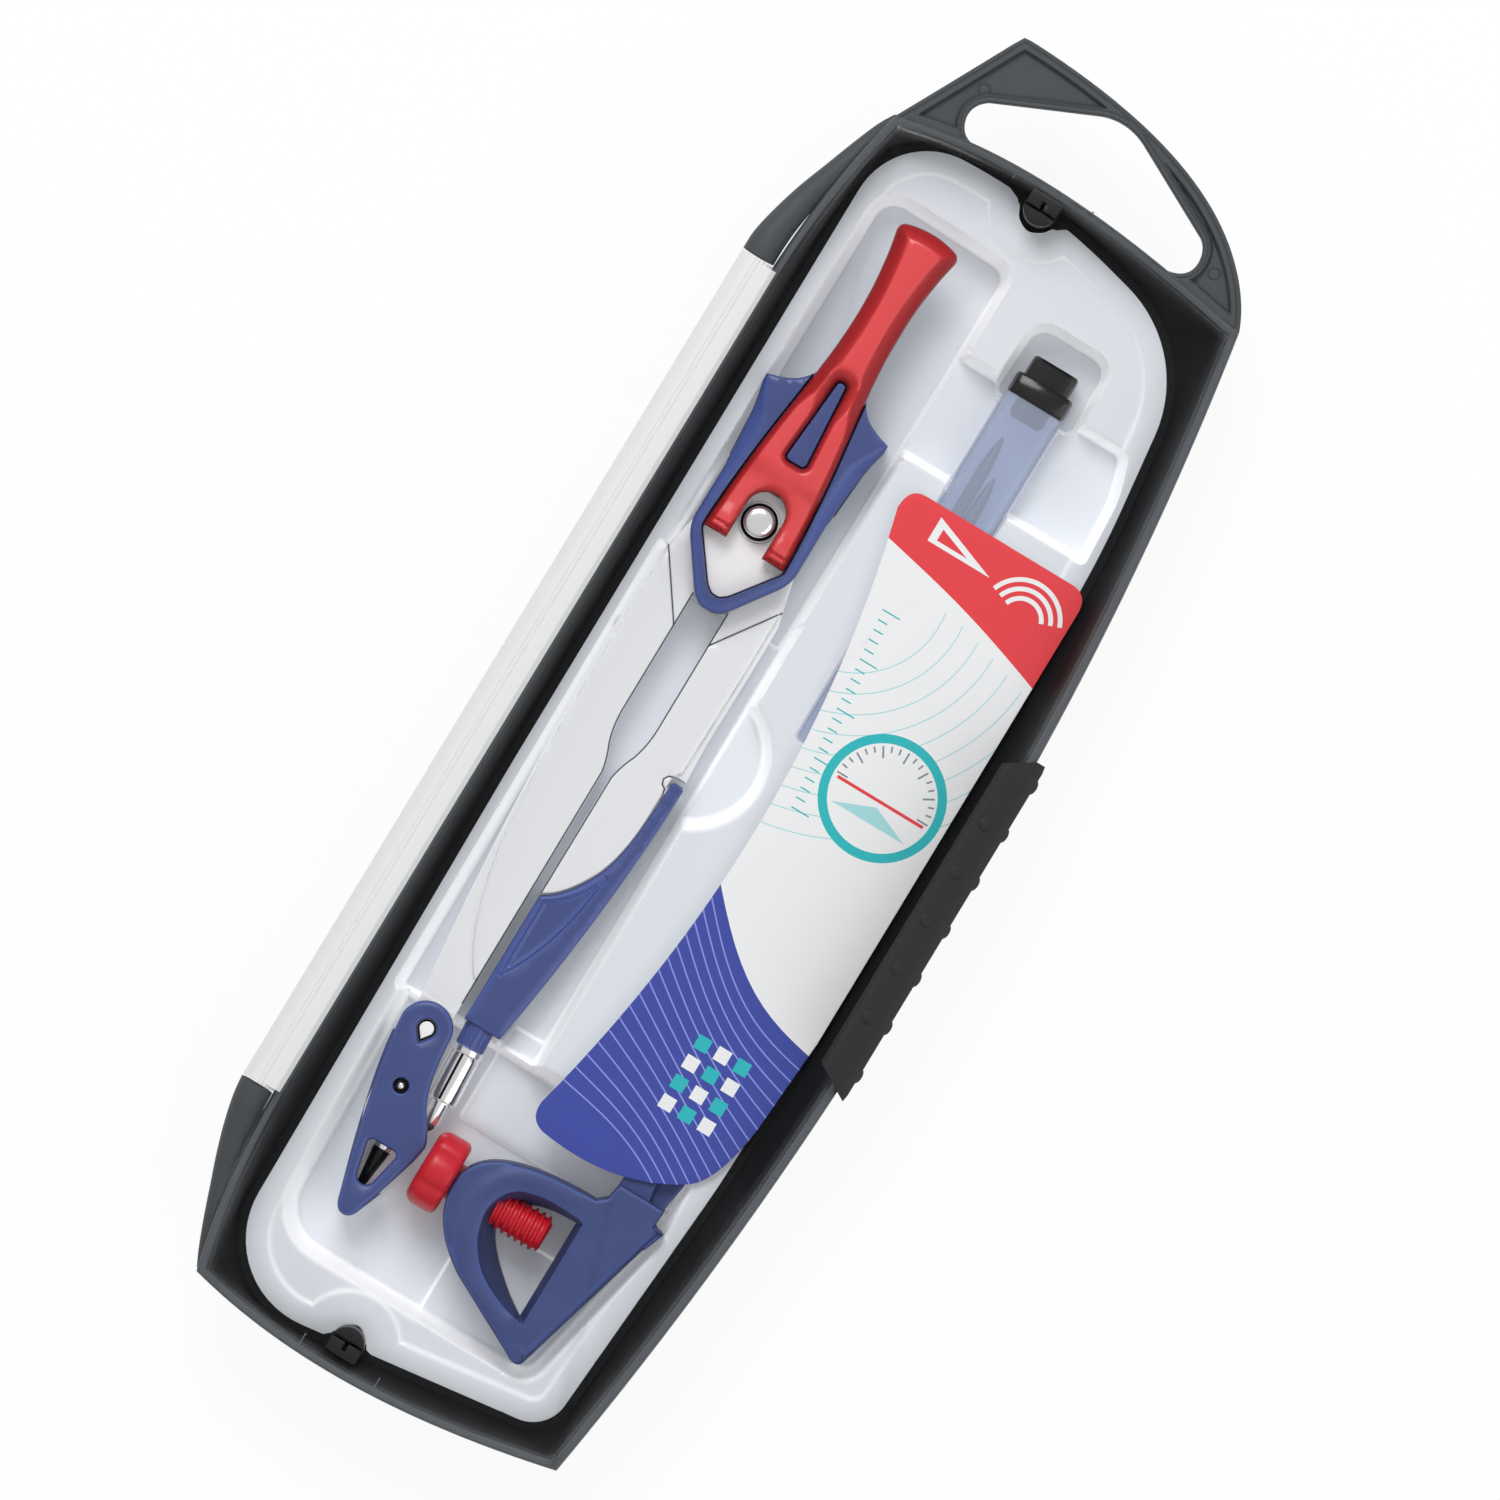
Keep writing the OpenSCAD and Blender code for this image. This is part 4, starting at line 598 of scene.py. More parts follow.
ARM = join(CRESCENT + [0.1, -0.3], [[8.9, -44.2], [8.9, -40], [9.3, -39.6], [10.6, -39.6], [11, -40.1]],
           bend([11, -41], [10.6, -62], [6.8, -85.7], 24), [[6.8, -85.7], [0.65, -85.7]])
LEAF = join([1.7, -64.6], bend([1.7, -64.6], [5.6, -62.4], [7.9, -56.9], 12),
            bend([7.9, -56.9], [7, -69.5], [1.8, -77.4], 16), [1.8, -77.4])
GUARD_TIP = join(bend([1.8, -27.7], [2.3, -30], [3.8, -30], 8), bend([3.8, -30], [5.2, -30], [5.8, -27.7], 8))
GUARD_OUT = at(join(
    circle(0, 0, 4.1, 22, 0, 180), bend([-4.1, 0], [-3.3, -9], [1.8, -27.7], 16), GUARD_TIP,
    bend([5.8, -27.7], [7.6, -22], [9.1, -16.6], 8), [9.2, -15.4],
    bend([9, -14.6], [8.2, -12.8], [7.1, -11.3], 8), bend([7.1, -11.3], [4.6, -8.2], [4.1, 0], 12)), GUARD)
GUARD_WALL = at(join(
    [-3.95, -2.6], bend([-4.1, -2.6], [-3.3, -11], [1.8, -27.7], 20), GUARD_TIP,
    [[7, -24.6], [6.2, -24.9], [5.2, -27.9], [2.9, -27.9], [0.5, -21], [-1.9, -14.6], [-3.4, -2.6]]), GUARD)
GUARD_WINDOW = at(rounded([
    (1.2, -18.1, 0.7), (6.3, -18.1, 0.7), (4.9, -24.6, 1.2), (2.7, -24.6, 1.2)], 8), GUARD)
GUARD_STUD = GUARD + [1.3, -9.2]
TEAR = at(join(circle(0, 0, 1.1, 24, -25, 205), [0, -1.75]), GUARD + [0.2, 0])
CARD = join(
    bend([3, -64.3], [16, -66.2], [25.4, -59.9], 20), bend([25.4, -59.9], [29.2, -57.4], [30.3, -46], 14),
    [31.1, -32], bend([31.1, 42.5], [31.1, 45.7], [27.9, 45.7], 10),
    bend([3, 45.7], [0, 45.7], [0.1, 42.1], 10), bend([0.1, 42.1], [13.3, -8], [0.6, -60.6], 40),
    bend([0.6, -60.6], [0.3, -63.6], [3, -64.3], 10))
ADAPTOR = join(
    bend([-4.4, -77.5], [-4.5, -84.4], [4, -89.4], 20), [15.7, -95.3],
    bend([16.2, -95.6], [17.8, -96.3], [18.4, -95], 8), [[24.9, -71.4], [26, -68]],
    [[24.4, -67.9], [24.6, -65], [16.9, -65], [16.4, -67.6]],
    bend([15, -68.8], [-4.3, -68.8], [-4.4, -77.5], 24))
ADAPTOR_EDGE = np.array([[26.3, -68.1], [18.6, -95.6]])
WINDOW = smooth([
    [14.3, -89.7], [11.1, -87.5], [7.4, -84.3], [4.9, -81.2], [4.3, -78.6], [5.2, -76.3], [7.4, -74.6],
    [10.4, -73.7], [14.3, -73.3]], 5)
BOW = join(smooth([
    [14.3, -90.1], [11.1, -89.3], [6.5, -87], [3.5, -83.7], [2.2, -80.4], [2, -78], [2.8, -75.6], [4.4, -73.8],
    [6.9, -72.9], [9.5, -72.5], [14.3, -72.6]], 5), [[15.2, -72.9], [15.2, -90.3]])
STEM = np.array([[16.6, -69], [24.6, -69], [24.3, -66], [25.2, -60.5], [24.6, -53.5], [23.4, -41], [19.2, -41],
                 [17.8, -53.5], [16.9, -62]])
# y and x of the curved step on the stem
STEP_Y, STEP_X = (-71, -70, -68.4, -66.4, -63, -60), (24.6, 23.9, 22.9, 22.1, 21.5, 21.3)
BARB = np.array([[24.3, -67.3], [25.2, -67.9], [26.3, -68.1], [25, -71.6], [22.6, -71], [23.6, -69]])
# the tray's notches round the snap posts
NOTCHES = (
    smooth([[-15, 96], [-9.9, 91.6], [-8.4, 90.9], [-7.5, 89.6], [-6.6, 88.1], [-4.6, 87.2], [-2.6, 88.1],
            [-1.6, 89.3], [0.2, 90.6], [2.2, 91.3], [7, 96]], 6),
    smooth([[-14, -114], [-9.7, -108.8], [-8.5, -107.4], [-7.9, -105.5], [-7, -104], [-5.4, -103.2],
            [-3.9, -104], [-3, -105.4], [-2.4, -107], [-1.2, -108.2], [4, -114]], 6))
# hinge horns, as rows of y, inset from the barrel, radius and drop
HORNS = (
    [(63.0, 0, 2.6, 0), (63.3, 0, 2.6, 0), (66, 0.05, 2.55, -0.1), (70, 0.6, 2.3, -0.7), (75, 1.7, 2.0, -1.5),
     (80, 3.2, 1.7, -2.1), (85, 4.7, 1.4, -2.6), (89, 6.0, 1.1, -2.9), (91.5, 7.0, 0.7, -3.1)],
    [(-79.9, 0, 2.6, 0), (-80.2, 0, 2.6, 0), (-83, 0.25, 2.5, -0.15), (-87, 0.9, 2.25, -0.8),
     (-91.5, 2.0, 2.0, -1.5), (-96, 3.3, 1.7, -2.1), (-101, 4.8, 1.4, -2.6), (-105, 6.1, 1.1, -2.9),
     (-107.8, 7.0, 0.7, -3.1)])


# ---- Properties ------------------------------------------------------------------------------


def tone(name, code, description):
    """Property for a colour, given as an sRGB hex code."""
    return FloatVectorProperty(name=name, description=description, default=colour(code)[:3], size=3,
                               subtype="COLOR", min=0, max=1)


class CaseProperties(PropertyGroup):
    """Sizes and colours that can be changed before the pieces are built."""
    edge: FloatProperty(name="Edge round", description="Round on moulded edges, in millimetres", default=0.35,
                        min=0.1, max=0.8, subtype="DISTANCE")
    pip: FloatProperty(name="Pip height", description="Height of the grip's pips, in millimetres", default=0.6,
                       min=0.2, max=0.9, subtype="DISTANCE")
    wall: FloatProperty(name="Well wall run", description="Run of the tray's sloped walls, in millimetres",
                        default=2.0, min=0.8, max=3, subtype="DISTANCE")
    key: FloatProperty(name="Key light", description="Power of the main light, in watts", default=10.5,
                       min=0.2, max=80, subtype="POWER")
    case_grey: tone("Case", "#4b4f53", "Colour of the base's moulded plastic")
    tray_white: tone("Tray", "#d9dde3", "Colour of the formed tray")
    grip_black: tone("Grip", "#2b2c2d", "Colour of the soft grip")
    compass_blue: tone("Compass covers", "#404e86", "Colour of the compass's head, guard and arm")
    lever_red: tone("Stop lever", "#e03438", "Colour of the stop lever")
    leg_silver: tone("Legs", "#dfe0e3", "Colour of the compass's painted legs")
    adaptor_navy: tone("Adaptor", "#36457a", "Colour of the pen adaptor's frame")
    screw_red: tone("Thumbscrew", "#cf1a2b", "Colour of the thumbscrew")
    ink_red: tone("Card, red ink", "#ea4047", "Colour of the card's header")
    ink_blue: tone("Card, blue ink", "#3c4aa6", "Colour of the card's lower field")


def props():
    """The scene's own set of sizes and colours."""
    return bpy.context.scene.case_props


# ---- Operators: one per group of pieces --------------------------------------------------------


class CASE_OT_base(Operator):
    """Builds the base shell, its hang tab, hinge horns and snap posts"""
    bl_idname = "case.base"
    bl_label = "Base"

    SKIN, INSIDE, RIM, POST = range(4)

    def execute(self, context):
        materials = [
            # grained ABS: dull grey with a faint cloudiness
            material("moulded_grey_plastic_grained", props().case_grey, 0.6, level=0.35, grain=(0.35, 0.03),
                     vary=(9, "#44484b")),
            # the same grey plastic, painted nearly black as the shade inside the case, with little shine
            material("moulded_grey_plastic_painted_shade", "#131416", 0.5, level=0.15),
            # its rim, painted a little paler as a highlight where the light catches it
            material("moulded_grey_plastic_rim_painted_highlight", "#5a5e62", 0.5, level=0.4),
            # the posts: black, with a satin shine
            material("moulded_black_plastic_snap_post", "#0a0a0b", 0.4, level=0.4),
        ]
        piece = Piece()
        self.shell(piece)
        self.tab(piece)
        self.horns(piece)
        self.posts(piece)
        piece.make("case_base", "case", materials, ["base_shell"], "base", 32)
        return {"FINISHED"}

    def shell(self, piece):
        """Outer wall with its draft, rim, an inner wall that eases from the rim's outline to the tray's,
        ledge, pocket and floor."""
        outer = [(5.6, 0), (4.6, 0.5), (3.7, 2.0)]
        outer += [(3.6 * (1 - t), 2 + 16.4 * t) for t in (0.25, 0.5, 0.75, 1)]
        outer += [(0.4 - 0.4 * math.cos(a), 18.6 + 0.4 * math.sin(a)) for a in np.radians((30, 60, 90))]
        # the foot is the same outline drawn smaller about its own middle, so that its corners stay clean
        middle, half = np.array([1.7, -9]), np.array([35.9, 103])
        loops = [raised((BODY - middle) * (1 - d / half) + middle, z) for d, z in outer]
        rings(piece, loops, self.SKIN, caps=False)
        cover(piece, loops[0], False, self.SKIN)
        rim = [(0.4, BASE_H), (0.95, BASE_H), (1.15, BASE_H - 0.07), (1.3, BASE_H - 0.3)]
        rings(piece, [raised(ring(BODY, d), z) for d, z in rim], self.RIM, caps=False)
        tray = refine(TRAY, 1.0)
        top, foot = spaced(ring(BODY, 1.3)), spaced(ring(tray, -1.0))
        walls = []
        for t in np.linspace(0, 1, 7):
            e = 0.55 * t + 0.45 * t * t
            walls.append(raised(top * (1 - e) + foot * e, 18.7 - 7.7 * t))
        for d, z in ((0.2, LEDGE_Z), (1.3, LEDGE_Z), (1.5, 10.8), (1.5, 1.7)):
            walls.append(raised(spaced(ring(tray, d)), z))
        # inner walls and floor take the grey plastic painted nearly black as shade
        rings(piece, walls, self.INSIDE, caps=False)
        cover(piece, walls[-1], True, self.INSIDE)

    def tab(self, piece):
        """Hang tab: a plate with a raised rim round its field and round its hole."""
        tab, hole = refine(TAB, 0.5), refine(HOLE, 0.5)
        field, hole_rim, step_line = ring(refine(TAB, 0.8), 1.5), ring(hole, -1.0), ring(BODY, -0.9)
        field = refine(field, 0.8)

        def lowered(x, y, d, z):
            """The field is 1 mm lower; a bell-shaped groove follows the rims, and two small rings stand up."""
            p = np.stack([x, y], 1)
            inside = np.minimum(inwards(p, field), -np.maximum(inwards(p, hole_rim), inwards(p, step_line)))
            groove = np.exp(-((d - 0.72) / 0.13) ** 2) * 0.16
            marks = sum(np.exp(-((np.hypot(x - a, y - b) - 0.85) / 0.12) ** 2) * 0.18 for a, b in TAB_MARKS)
            return z - 1.0 * ease(inside / 0.5) - groove + marks

        lines = offsets(tab, 0.55, 0.72, 0.9, 1.35, 1.5, 1.7, 1.85, 2.0, 2.15)
        lines += offsets(hole, -0.55, -0.72, -0.9, -1.0, -1.15, -1.3, -1.5, -1.65)
        lines += offsets(BODY, -0.8, -0.95, -1.15, -1.4)
        lines += [circle(x, y, r, 20) for x, y in TAB_MARKS for r in (0.6, 0.85, 1.1)]
        slab(piece, TAB, BASE_H, 14.8, cuts=(HOLE, ring(BODY, 0.9)), edge=0.3, low=0.5, shape=lowered,
             step=0.5, grid=1.5, extra=lines)

    def horns(self, piece):
        """Rounded bulges that end the hinge, each a row of rings that narrows from the barrel to the corner."""
        n, under_rim = 36, BASE_H - 0.05
        t = np.linspace(0, 2 * np.pi, n, endpoint=False)
        for path in HORNS:
            loops = []
            for y, inset, r, drop in smooth(path, 5):
                x = HINGE_X + inset + r * np.cos(t)
                z = HINGE_Z + drop + r * np.sin(t) * np.where(np.sin(t) < 0, 2.2, 1)
                over = (inwards(np.stack([x, np.full(n, y)], 1), BODY) > -0.3) & (z > under_rim)
                x = np.maximum(x, HINGE_X - BARREL_R)
                loops.append(np.column_stack([x, np.full(n, y), np.where(over, under_rim, z)]))
            rings(piece, loops)

    def posts(self, piece):
        """Half-round snap posts, each with a slotted block behind it and two short ribs that end the latch
        strip beside it."""
        for x, y, s in POSTS:
            half = circle(x, y, 2.6, 24, *((190, 350) if s > 0 else (10, 170)))
            slab(piece, half, 17.6, 10.5, edge=0.2, low=0, step=0.4, grid=1, slot=self.POST)
            block = oblong(x - 2.6, y - 0.2 * s, x + 2.6, y + 2.2 * s)
            slit = oblong(x - 0.25, y - 1, x + 0.25, y + 1)
            slab(piece, block, 18.4, 14, cuts=[slit], edge=0.2, low=0, step=0.8, grid=1, slot=self.POST)
            for side in (-6, 6.8):
                rib = oblong(x + side - 0.12, y + 1.9 * s, x + side + 0.12, y + 3.6 * s)
                # the ribs take the rim's painted highlight
                slab(piece, rib, 18.75, 14, edge=0.05, low=0, step=0.8, grid=1, slot=self.RIM)


class CASE_OT_tray(Operator):
    """Builds the thermoformed tray with its wells"""
    bl_idname = "case.tray"
    bl_label = "Tray"

    def execute(self, context):
        # vacuum-formed polystyrene: pale grey-white with a painted glow all over, painted whiter and glowing
        # more where the sheet leans, as painted highlight
        white = material("thermoformed_white_polystyrene_painted_glow", props().tray_white, 0.42, level=0.35, glow=0.1,
                         slopes=((0.55, 1, 0.81), (LEVEL_Z, 1, 0)), lean_glow=0.26)
        w, floor, low_floor = props().wall, 2.6, 2.7
        shelf = ring(refine(TRAY, 0.25), 2.7)
        for x, y, _ in POSTS:
            # the shelf keeps 6.7 mm from each snap post
            away = shelf - (x, y)
            far = np.hypot(*away.T)[:, None]
            shelf = (x, y) + away * np.maximum(1, 6.7 / np.maximum(far, 0.1))
        wells = [
            (shelf, 10.8, 1.6),
            # the compass's head, then its legs, then its guard with the pen adaptor
            (rounded([(-27.2, 13.4, 2), (-2.6, 13.4, 2), (-2.3, 82.1, 4), (-27, 82.9, 5)], 9), floor, w),
            (rounded([(-28.2, 20.4, 1), (-2.2, 20.4, 1), (-1.8, -58, 2), (-27.7, -58, 2)], 7), 3.4, w),
            (rounded([(-27, -55.2, 1), (26.6, -56, 2), (27.4, -70, 3), (21.6, -98.8, 5), (-25.6, -98.8, 9)], 9),
             low_floor, w * 1.4),
            # a cross recess, then the lead tube and its cap
            (rounded([(-6, 48.4, 1.2), (28.6, 48.4, 1.5), (28, 60, 20), (25.6, 67.4, 3), (-6, 67.4, 2)], 9),
             6.0, w),
            (rounded([(4.4, 4.6, 1.2), (14.9, 4.6, 1.2), (14.9, 69, 1), (4.4, 69, 1)], 7), floor, 0.45),
            (rounded([(2.2, 63.4, 2.5), (17.8, 63.4, 2.5), (17.3, 77.6, 4), (2.8, 77.6, 4)], 9),
             floor, w * 0.7),
            # a finger recess beside the legs, and the adaptor's stem
            (circle(-7, -4.5, 12.4, 60), 5.5, w * 1.4),
            (rounded([(16.4, -70, 1), (26, -70, 1), (25.4, -39.6, 2), (17.8, -39.6, 2)], 7), 6.2, 1.0),
        ]
        pockets = [refine(rounded(corners, 8), 0.8) for corners in (
            [(0.7, -98.4, 2.4), (16.4, -98.4, 2.4), (18.4, -95, 2), (18.4, -79.8, 2), (0.7, -79.8, 2.4)],
            [(-9, -69.5, 1), (29, -69.5, 1), (29, -53, 1), (-9, -53, 1)])]

        def crown(x, y, d, z):
            """The flange's outer part leans down to its rim by the square of the way out, and the pockets
            stand 0.9 mm above the lower well's floor, but not on its walls."""
            p = np.stack([x, y], 1)
            rise = sum(0.9 * ease((inwards(p, loop) + 0.1) / 0.8) for loop in pockets)
            rise = rise * np.clip((4.4 - z) / 0.8, 0, 1)
            return z - 0.55 * (1 - np.clip(d / 2.4, 0, 1)) ** 2 * (z > 11) + rise

        piece = Piece()
        lines = [line for loop in pockets for line in offsets(loop, -0.1, 0.1, 0.3, 0.5, 0.7)]
        slab(piece, TRAY, TRAY_Z, 0, cuts=NOTCHES, edge=0.25, low=0, wells=wells, shape=crown, sheet=0.8,
             step=0.7, grid=1.4, soften=0.5, extra=lines)
        piece.make("formed_tray", "case", [white], ["tray"], "tray", 60)
        return {"FINISHED"}


class CASE_OT_lid(Operator):
    """Builds the clear lid with its hinge barrel, and the grip"""
    bl_idname = "case.lid"
    bl_label = "Lid and grip"

    def execute(self, context):
        # clear polypropylene: the flat sheet can hardly be seen
        film = clear("clear_polypropylene_gloss", "#ffffff", 0.05, 0.05)
        # the same sheet where it rolls over: a soft bright line
        edge = clear("clear_polypropylene_moulded_edge", "#fbfcfd", 0.35, 0.12, 0.004)
        # the barrel is the same plastic, but thick and ribbed, so that it looks frosted; a painted glow keeps
        # it pale
        frosted = material("clear_polypropylene_ribbed_frosted", "#dddedc", 0.32, level=0.5, glow=0.15)
        piece, outline = Piece(), refine(BODY, 1.2)
        arc = np.radians(np.linspace(0, 90, 9))
        low, outside, inside = BASE_H + 0.25, 0.15, 1.35
        over = [(outside, low), (outside, 20)]
        over += [(outside + 2.6 * (1 - math.cos(a)), 21.2 + 2 * math.sin(a)) for a in arc]
        under = [(inside + 1.9 * (1 - math.cos(a)), 20.4 + 1.6 * math.sin(a)) for a in arc][::-1]
        under += [(inside, 20), (inside, low)]
        for profile, slot, rim in ((over, 1, -1), (under, 0, 0)):
            stack = [raised(ring(outline, d), z) for d, z in profile]
            rings(piece, stack, slot, caps=False)
            cover(piece, stack[rim], rim == -1)
        rings(piece, [raised(ring(outline, d), low) for d in (inside, outside)], 1, caps=False)
        for x, y, _ in POSTS:
            lathe(piece, [(1.1, 22.1), (1.1, 17), (0.9, 16.6)], (x, y, 0), n=24)
        piece.make("clear_lid", "lid", [film, edge], ["lid_shell"], "lid", 30)
        self.barrel(frosted)
        self.grip()
        return {"FINISHED"}

    def barrel(self, frosted):
        """Hinge barrel: a round bar whose top has four fine bell-shaped grooves along it, and its web."""
        spine = Piece()
        t = np.radians(np.arange(0, 360, 2.5))
        x = BARREL_R * np.cos(t)
        grooves = sum(np.exp(-((x - g) / 0.13) ** 2) for g in (0.1, 0.8, 1.5, 2.1))
        r = BARREL_R - 0.3 * grooves * (np.sin(t) > 0)
        extrude(spine, np.stack([HINGE_X + r * np.cos(t), HINGE_Z + r * np.sin(t)], 1), *BARREL)
        web = HINGE_X + 3.5
        extrude(spine, [[HINGE_X, 19.7], [web, 19.7], [web, 21.6], [HINGE_X, 21.6]], BARREL[0] + 0.5,
                BARREL[1] - 0.5)
        spine.make("hinge_barrel", "lid", [frosted], (), "lid", 40)

    def grip(self):
        """Soft grip: its section hooks over the lid's edge, follows the base's curve and has skewed ends."""
        # thermoplastic rubber: black, dull and finely grained
        black = material("elastomer_black_matt_grained", props().grip_black, 0.68, level=0.3,
                         grain=(0.28, 0.05))
        piece = Piece()
        section = rounded([
            (-5.9, 23.22, 0), (-5.3, 24, 0.3), (-4.6, 24, 0.6), (-1.2, 22.5, 0.8), (0.1, 20.8, 1.2),
            (0.1, 9.5, 0.4), (-0.1, 9, 0.2), (-0.6, 9, 0.2), (-0.6, 19.1, 0), (-1.0, 19.3, 0),
            (-1.0, 21.2, 0.3), (-1.9, 22.5, 0.4), (-3.5, 23.22, 0)], 5)
        out, up = section.T
        # each point slides along y so that the ends run askew, and the end edges round off
        u, length, face_x = (out + 5.9) / 6.0, 60, 38.65
        low, high = -33.9 - 3.4 * u, 17.6 + 3.7 * u - 0.9 * np.clip(u * 4 - 3, 0, 1)
        loops = []
        for k in np.linspace(0, 1, 50):
            pinch = 0.35 * (ease(1 - k * length / 1.2) + ease(1 - (1 - k) * length / 1.2))
            x = face_x + out - pinch * (out > -1.3) * 0.5
            loops.append(np.stack([x, low + (high - low) * k, up - np.where(up > 22, pinch * 0.6, 0)], 1))
        rings(piece, loops[::-1])
        h, r, middle, pitch = props().pip, 1.2, -8, 8.3
        dome = [(r, -0.2)] + [(r * math.cos(a), h * math.sin(a)) for a in np.radians((0, 18, 36, 54, 72, 86))]
        for i in range(-2, 3):
            lathe(piece, dome, (35.2, middle + i * pitch, 23.28), (0.4, 0, 1), n=24)
        for i in range(-3, 4):
            lathe(piece, dome, (38.6, middle + i * pitch, 19.5), (1, 0, 0.1), n=24)
        piece.make("thumb_grip_soft", "lid", [black], ["thumb_grip"], "grip", 40)


class CASE_OT_card(Operator):
    """Builds the printed card"""
    bl_idname = "case.card"
    bl_label = "Card"

    WHITE, RED, BLUE, TEAL, PALE, GREY, LILAC = range(7)
    FAR = 60  # beyond the card on every side

    def execute(self, context):
        # coated board: smooth white with flat printed inks, all of one soft shine
        inks = [material("coated_board_white", "#f4f5f6", 0.4, level=0.4)]
        for ink, code in (("red", props().ink_red), ("blue", props().ink_blue), ("teal", "#28bcc2"),
                          ("pale", "#a9dfe2"), ("grey", "#8a8f99"), ("lilac", "#8d98e4")):
            inks.append(material(f"coated_board_{ink}_ink", code, 0.38, level=0.4))
        design = self.fields() + self.protractor() + self.header()
        # loops are kept to within the card's box, so that no far corner is triangulated
        design = [(np.clip(loop, [-1, -66], [33, 47]), ink) for loop, ink in design]
        piece = Piece()
        slab(piece, CARD, CARD_Z, CARD_Z - CARD_THICK, edge=0.06, low=0.06, step=0.7, grid=3, paint=design)
        piece.make("printed_card", "card", inks, ["card_insert"], "card", 50)
        return {"FINISHED"}

    def wave(self, y0, y1, sag):
        """Line across the card that falls evenly from y0 to y1 and sags by a sine of x."""
        x = np.linspace(-self.FAR, self.FAR, 60)
        return np.stack([x, y0 + (y1 - y0) * (x + 4) / 36 + sag * np.sin((x - 4) / 27 * math.pi)], 1)

    def below(self, y0, y1, sag):
        """Field under a wave."""
        return join(self.wave(y0, y1, sag), [[self.FAR, -99], [-self.FAR, -99]])

    def above(self, y0, y1, sag):
        """Field over a wave."""
        return join(self.wave(y0, y1, sag), [[self.FAR, 99], [-self.FAR, 99]])

    def fields(self):
        """Arcs in the white field, and the blue field with its fine waves."""
        arcs = [(stroke(circle(0.5, 30, 14 + i * 3.1, 60, -90, 10), 0.16), self.PALE) for i in range(9)]
        field = [(self.below(-9, -33, -4), self.WHITE), (self.below(-11, -35, -4), self.BLUE)]
        waves = [(stroke(self.wave(-13.5 - i * 2.6, -37.5 - i * 2.2, -4 + i * 0.45), 0.22), self.LILAC)
                 for i in range(16)]
        return arcs + field + waves

    def protractor(self):
        """A dial with a scale of ten-degree strokes, a pointer, and a ruled scale up the left edge."""
        x, y = 20.5, 4
        design = [(circle(x, y, 9.6, 60), self.TEAL), (circle(x, y, 8.2, 60), self.WHITE)]
        for i in range(0, 181, 10):
            a = math.radians(i)
            ends = [[x + r * math.cos(a), y + r * math.sin(a)] for r in (6.9 if i % 30 else 6.0, 7.8)]
            design.append((stroke(ends, 0.28), self.GREY))
        design.append((stroke([[13.1, 3.4], [27.9, 3.4]], 0.5), self.RED))
        design.append((join([[14.2, -0.2], [26.8, -0.2], [20.5, 2.4]]), self.PALE))
        for i in range(21):
            y, shift = -4 + i * 1.6, i * 0.18
            end = 11.2 if i % 5 else 12.6
            design.append((stroke([[9.6 - shift, y], [end - shift, y]], 0.22), self.TEAL))
        return design

    def header(self):
        """Red header with arcs and a set square, and rows of squares in the blue field."""
        design = [(self.above(37.5, 27.5, 0.6), self.WHITE), (self.above(39.2, 29.2, 0.6), self.RED)]
        design += [(stroke(circle(24.2, 37.2, r, 24, 20, 160), 0.7), self.WHITE) for r in (3.2, 4.6, 6.0)]
        design.append((join([[6.4, 40.2], [17.2, 40.2], [6.4, 44.2]]), self.WHITE))
        design.append((join([[7.6, 40.9], [12.8, 40.9], [7.6, 42.8]]), self.RED))
        size, pitch = 2.2, 3.4
        for i in range(4):
            for j in range(3):
                x, y = 15.5 + j * pitch, -42 - i * pitch
                design.append((oblong(x, y, x + size, y + size), self.WHITE if (i + j) % 2 else self.TEAL))
        return design


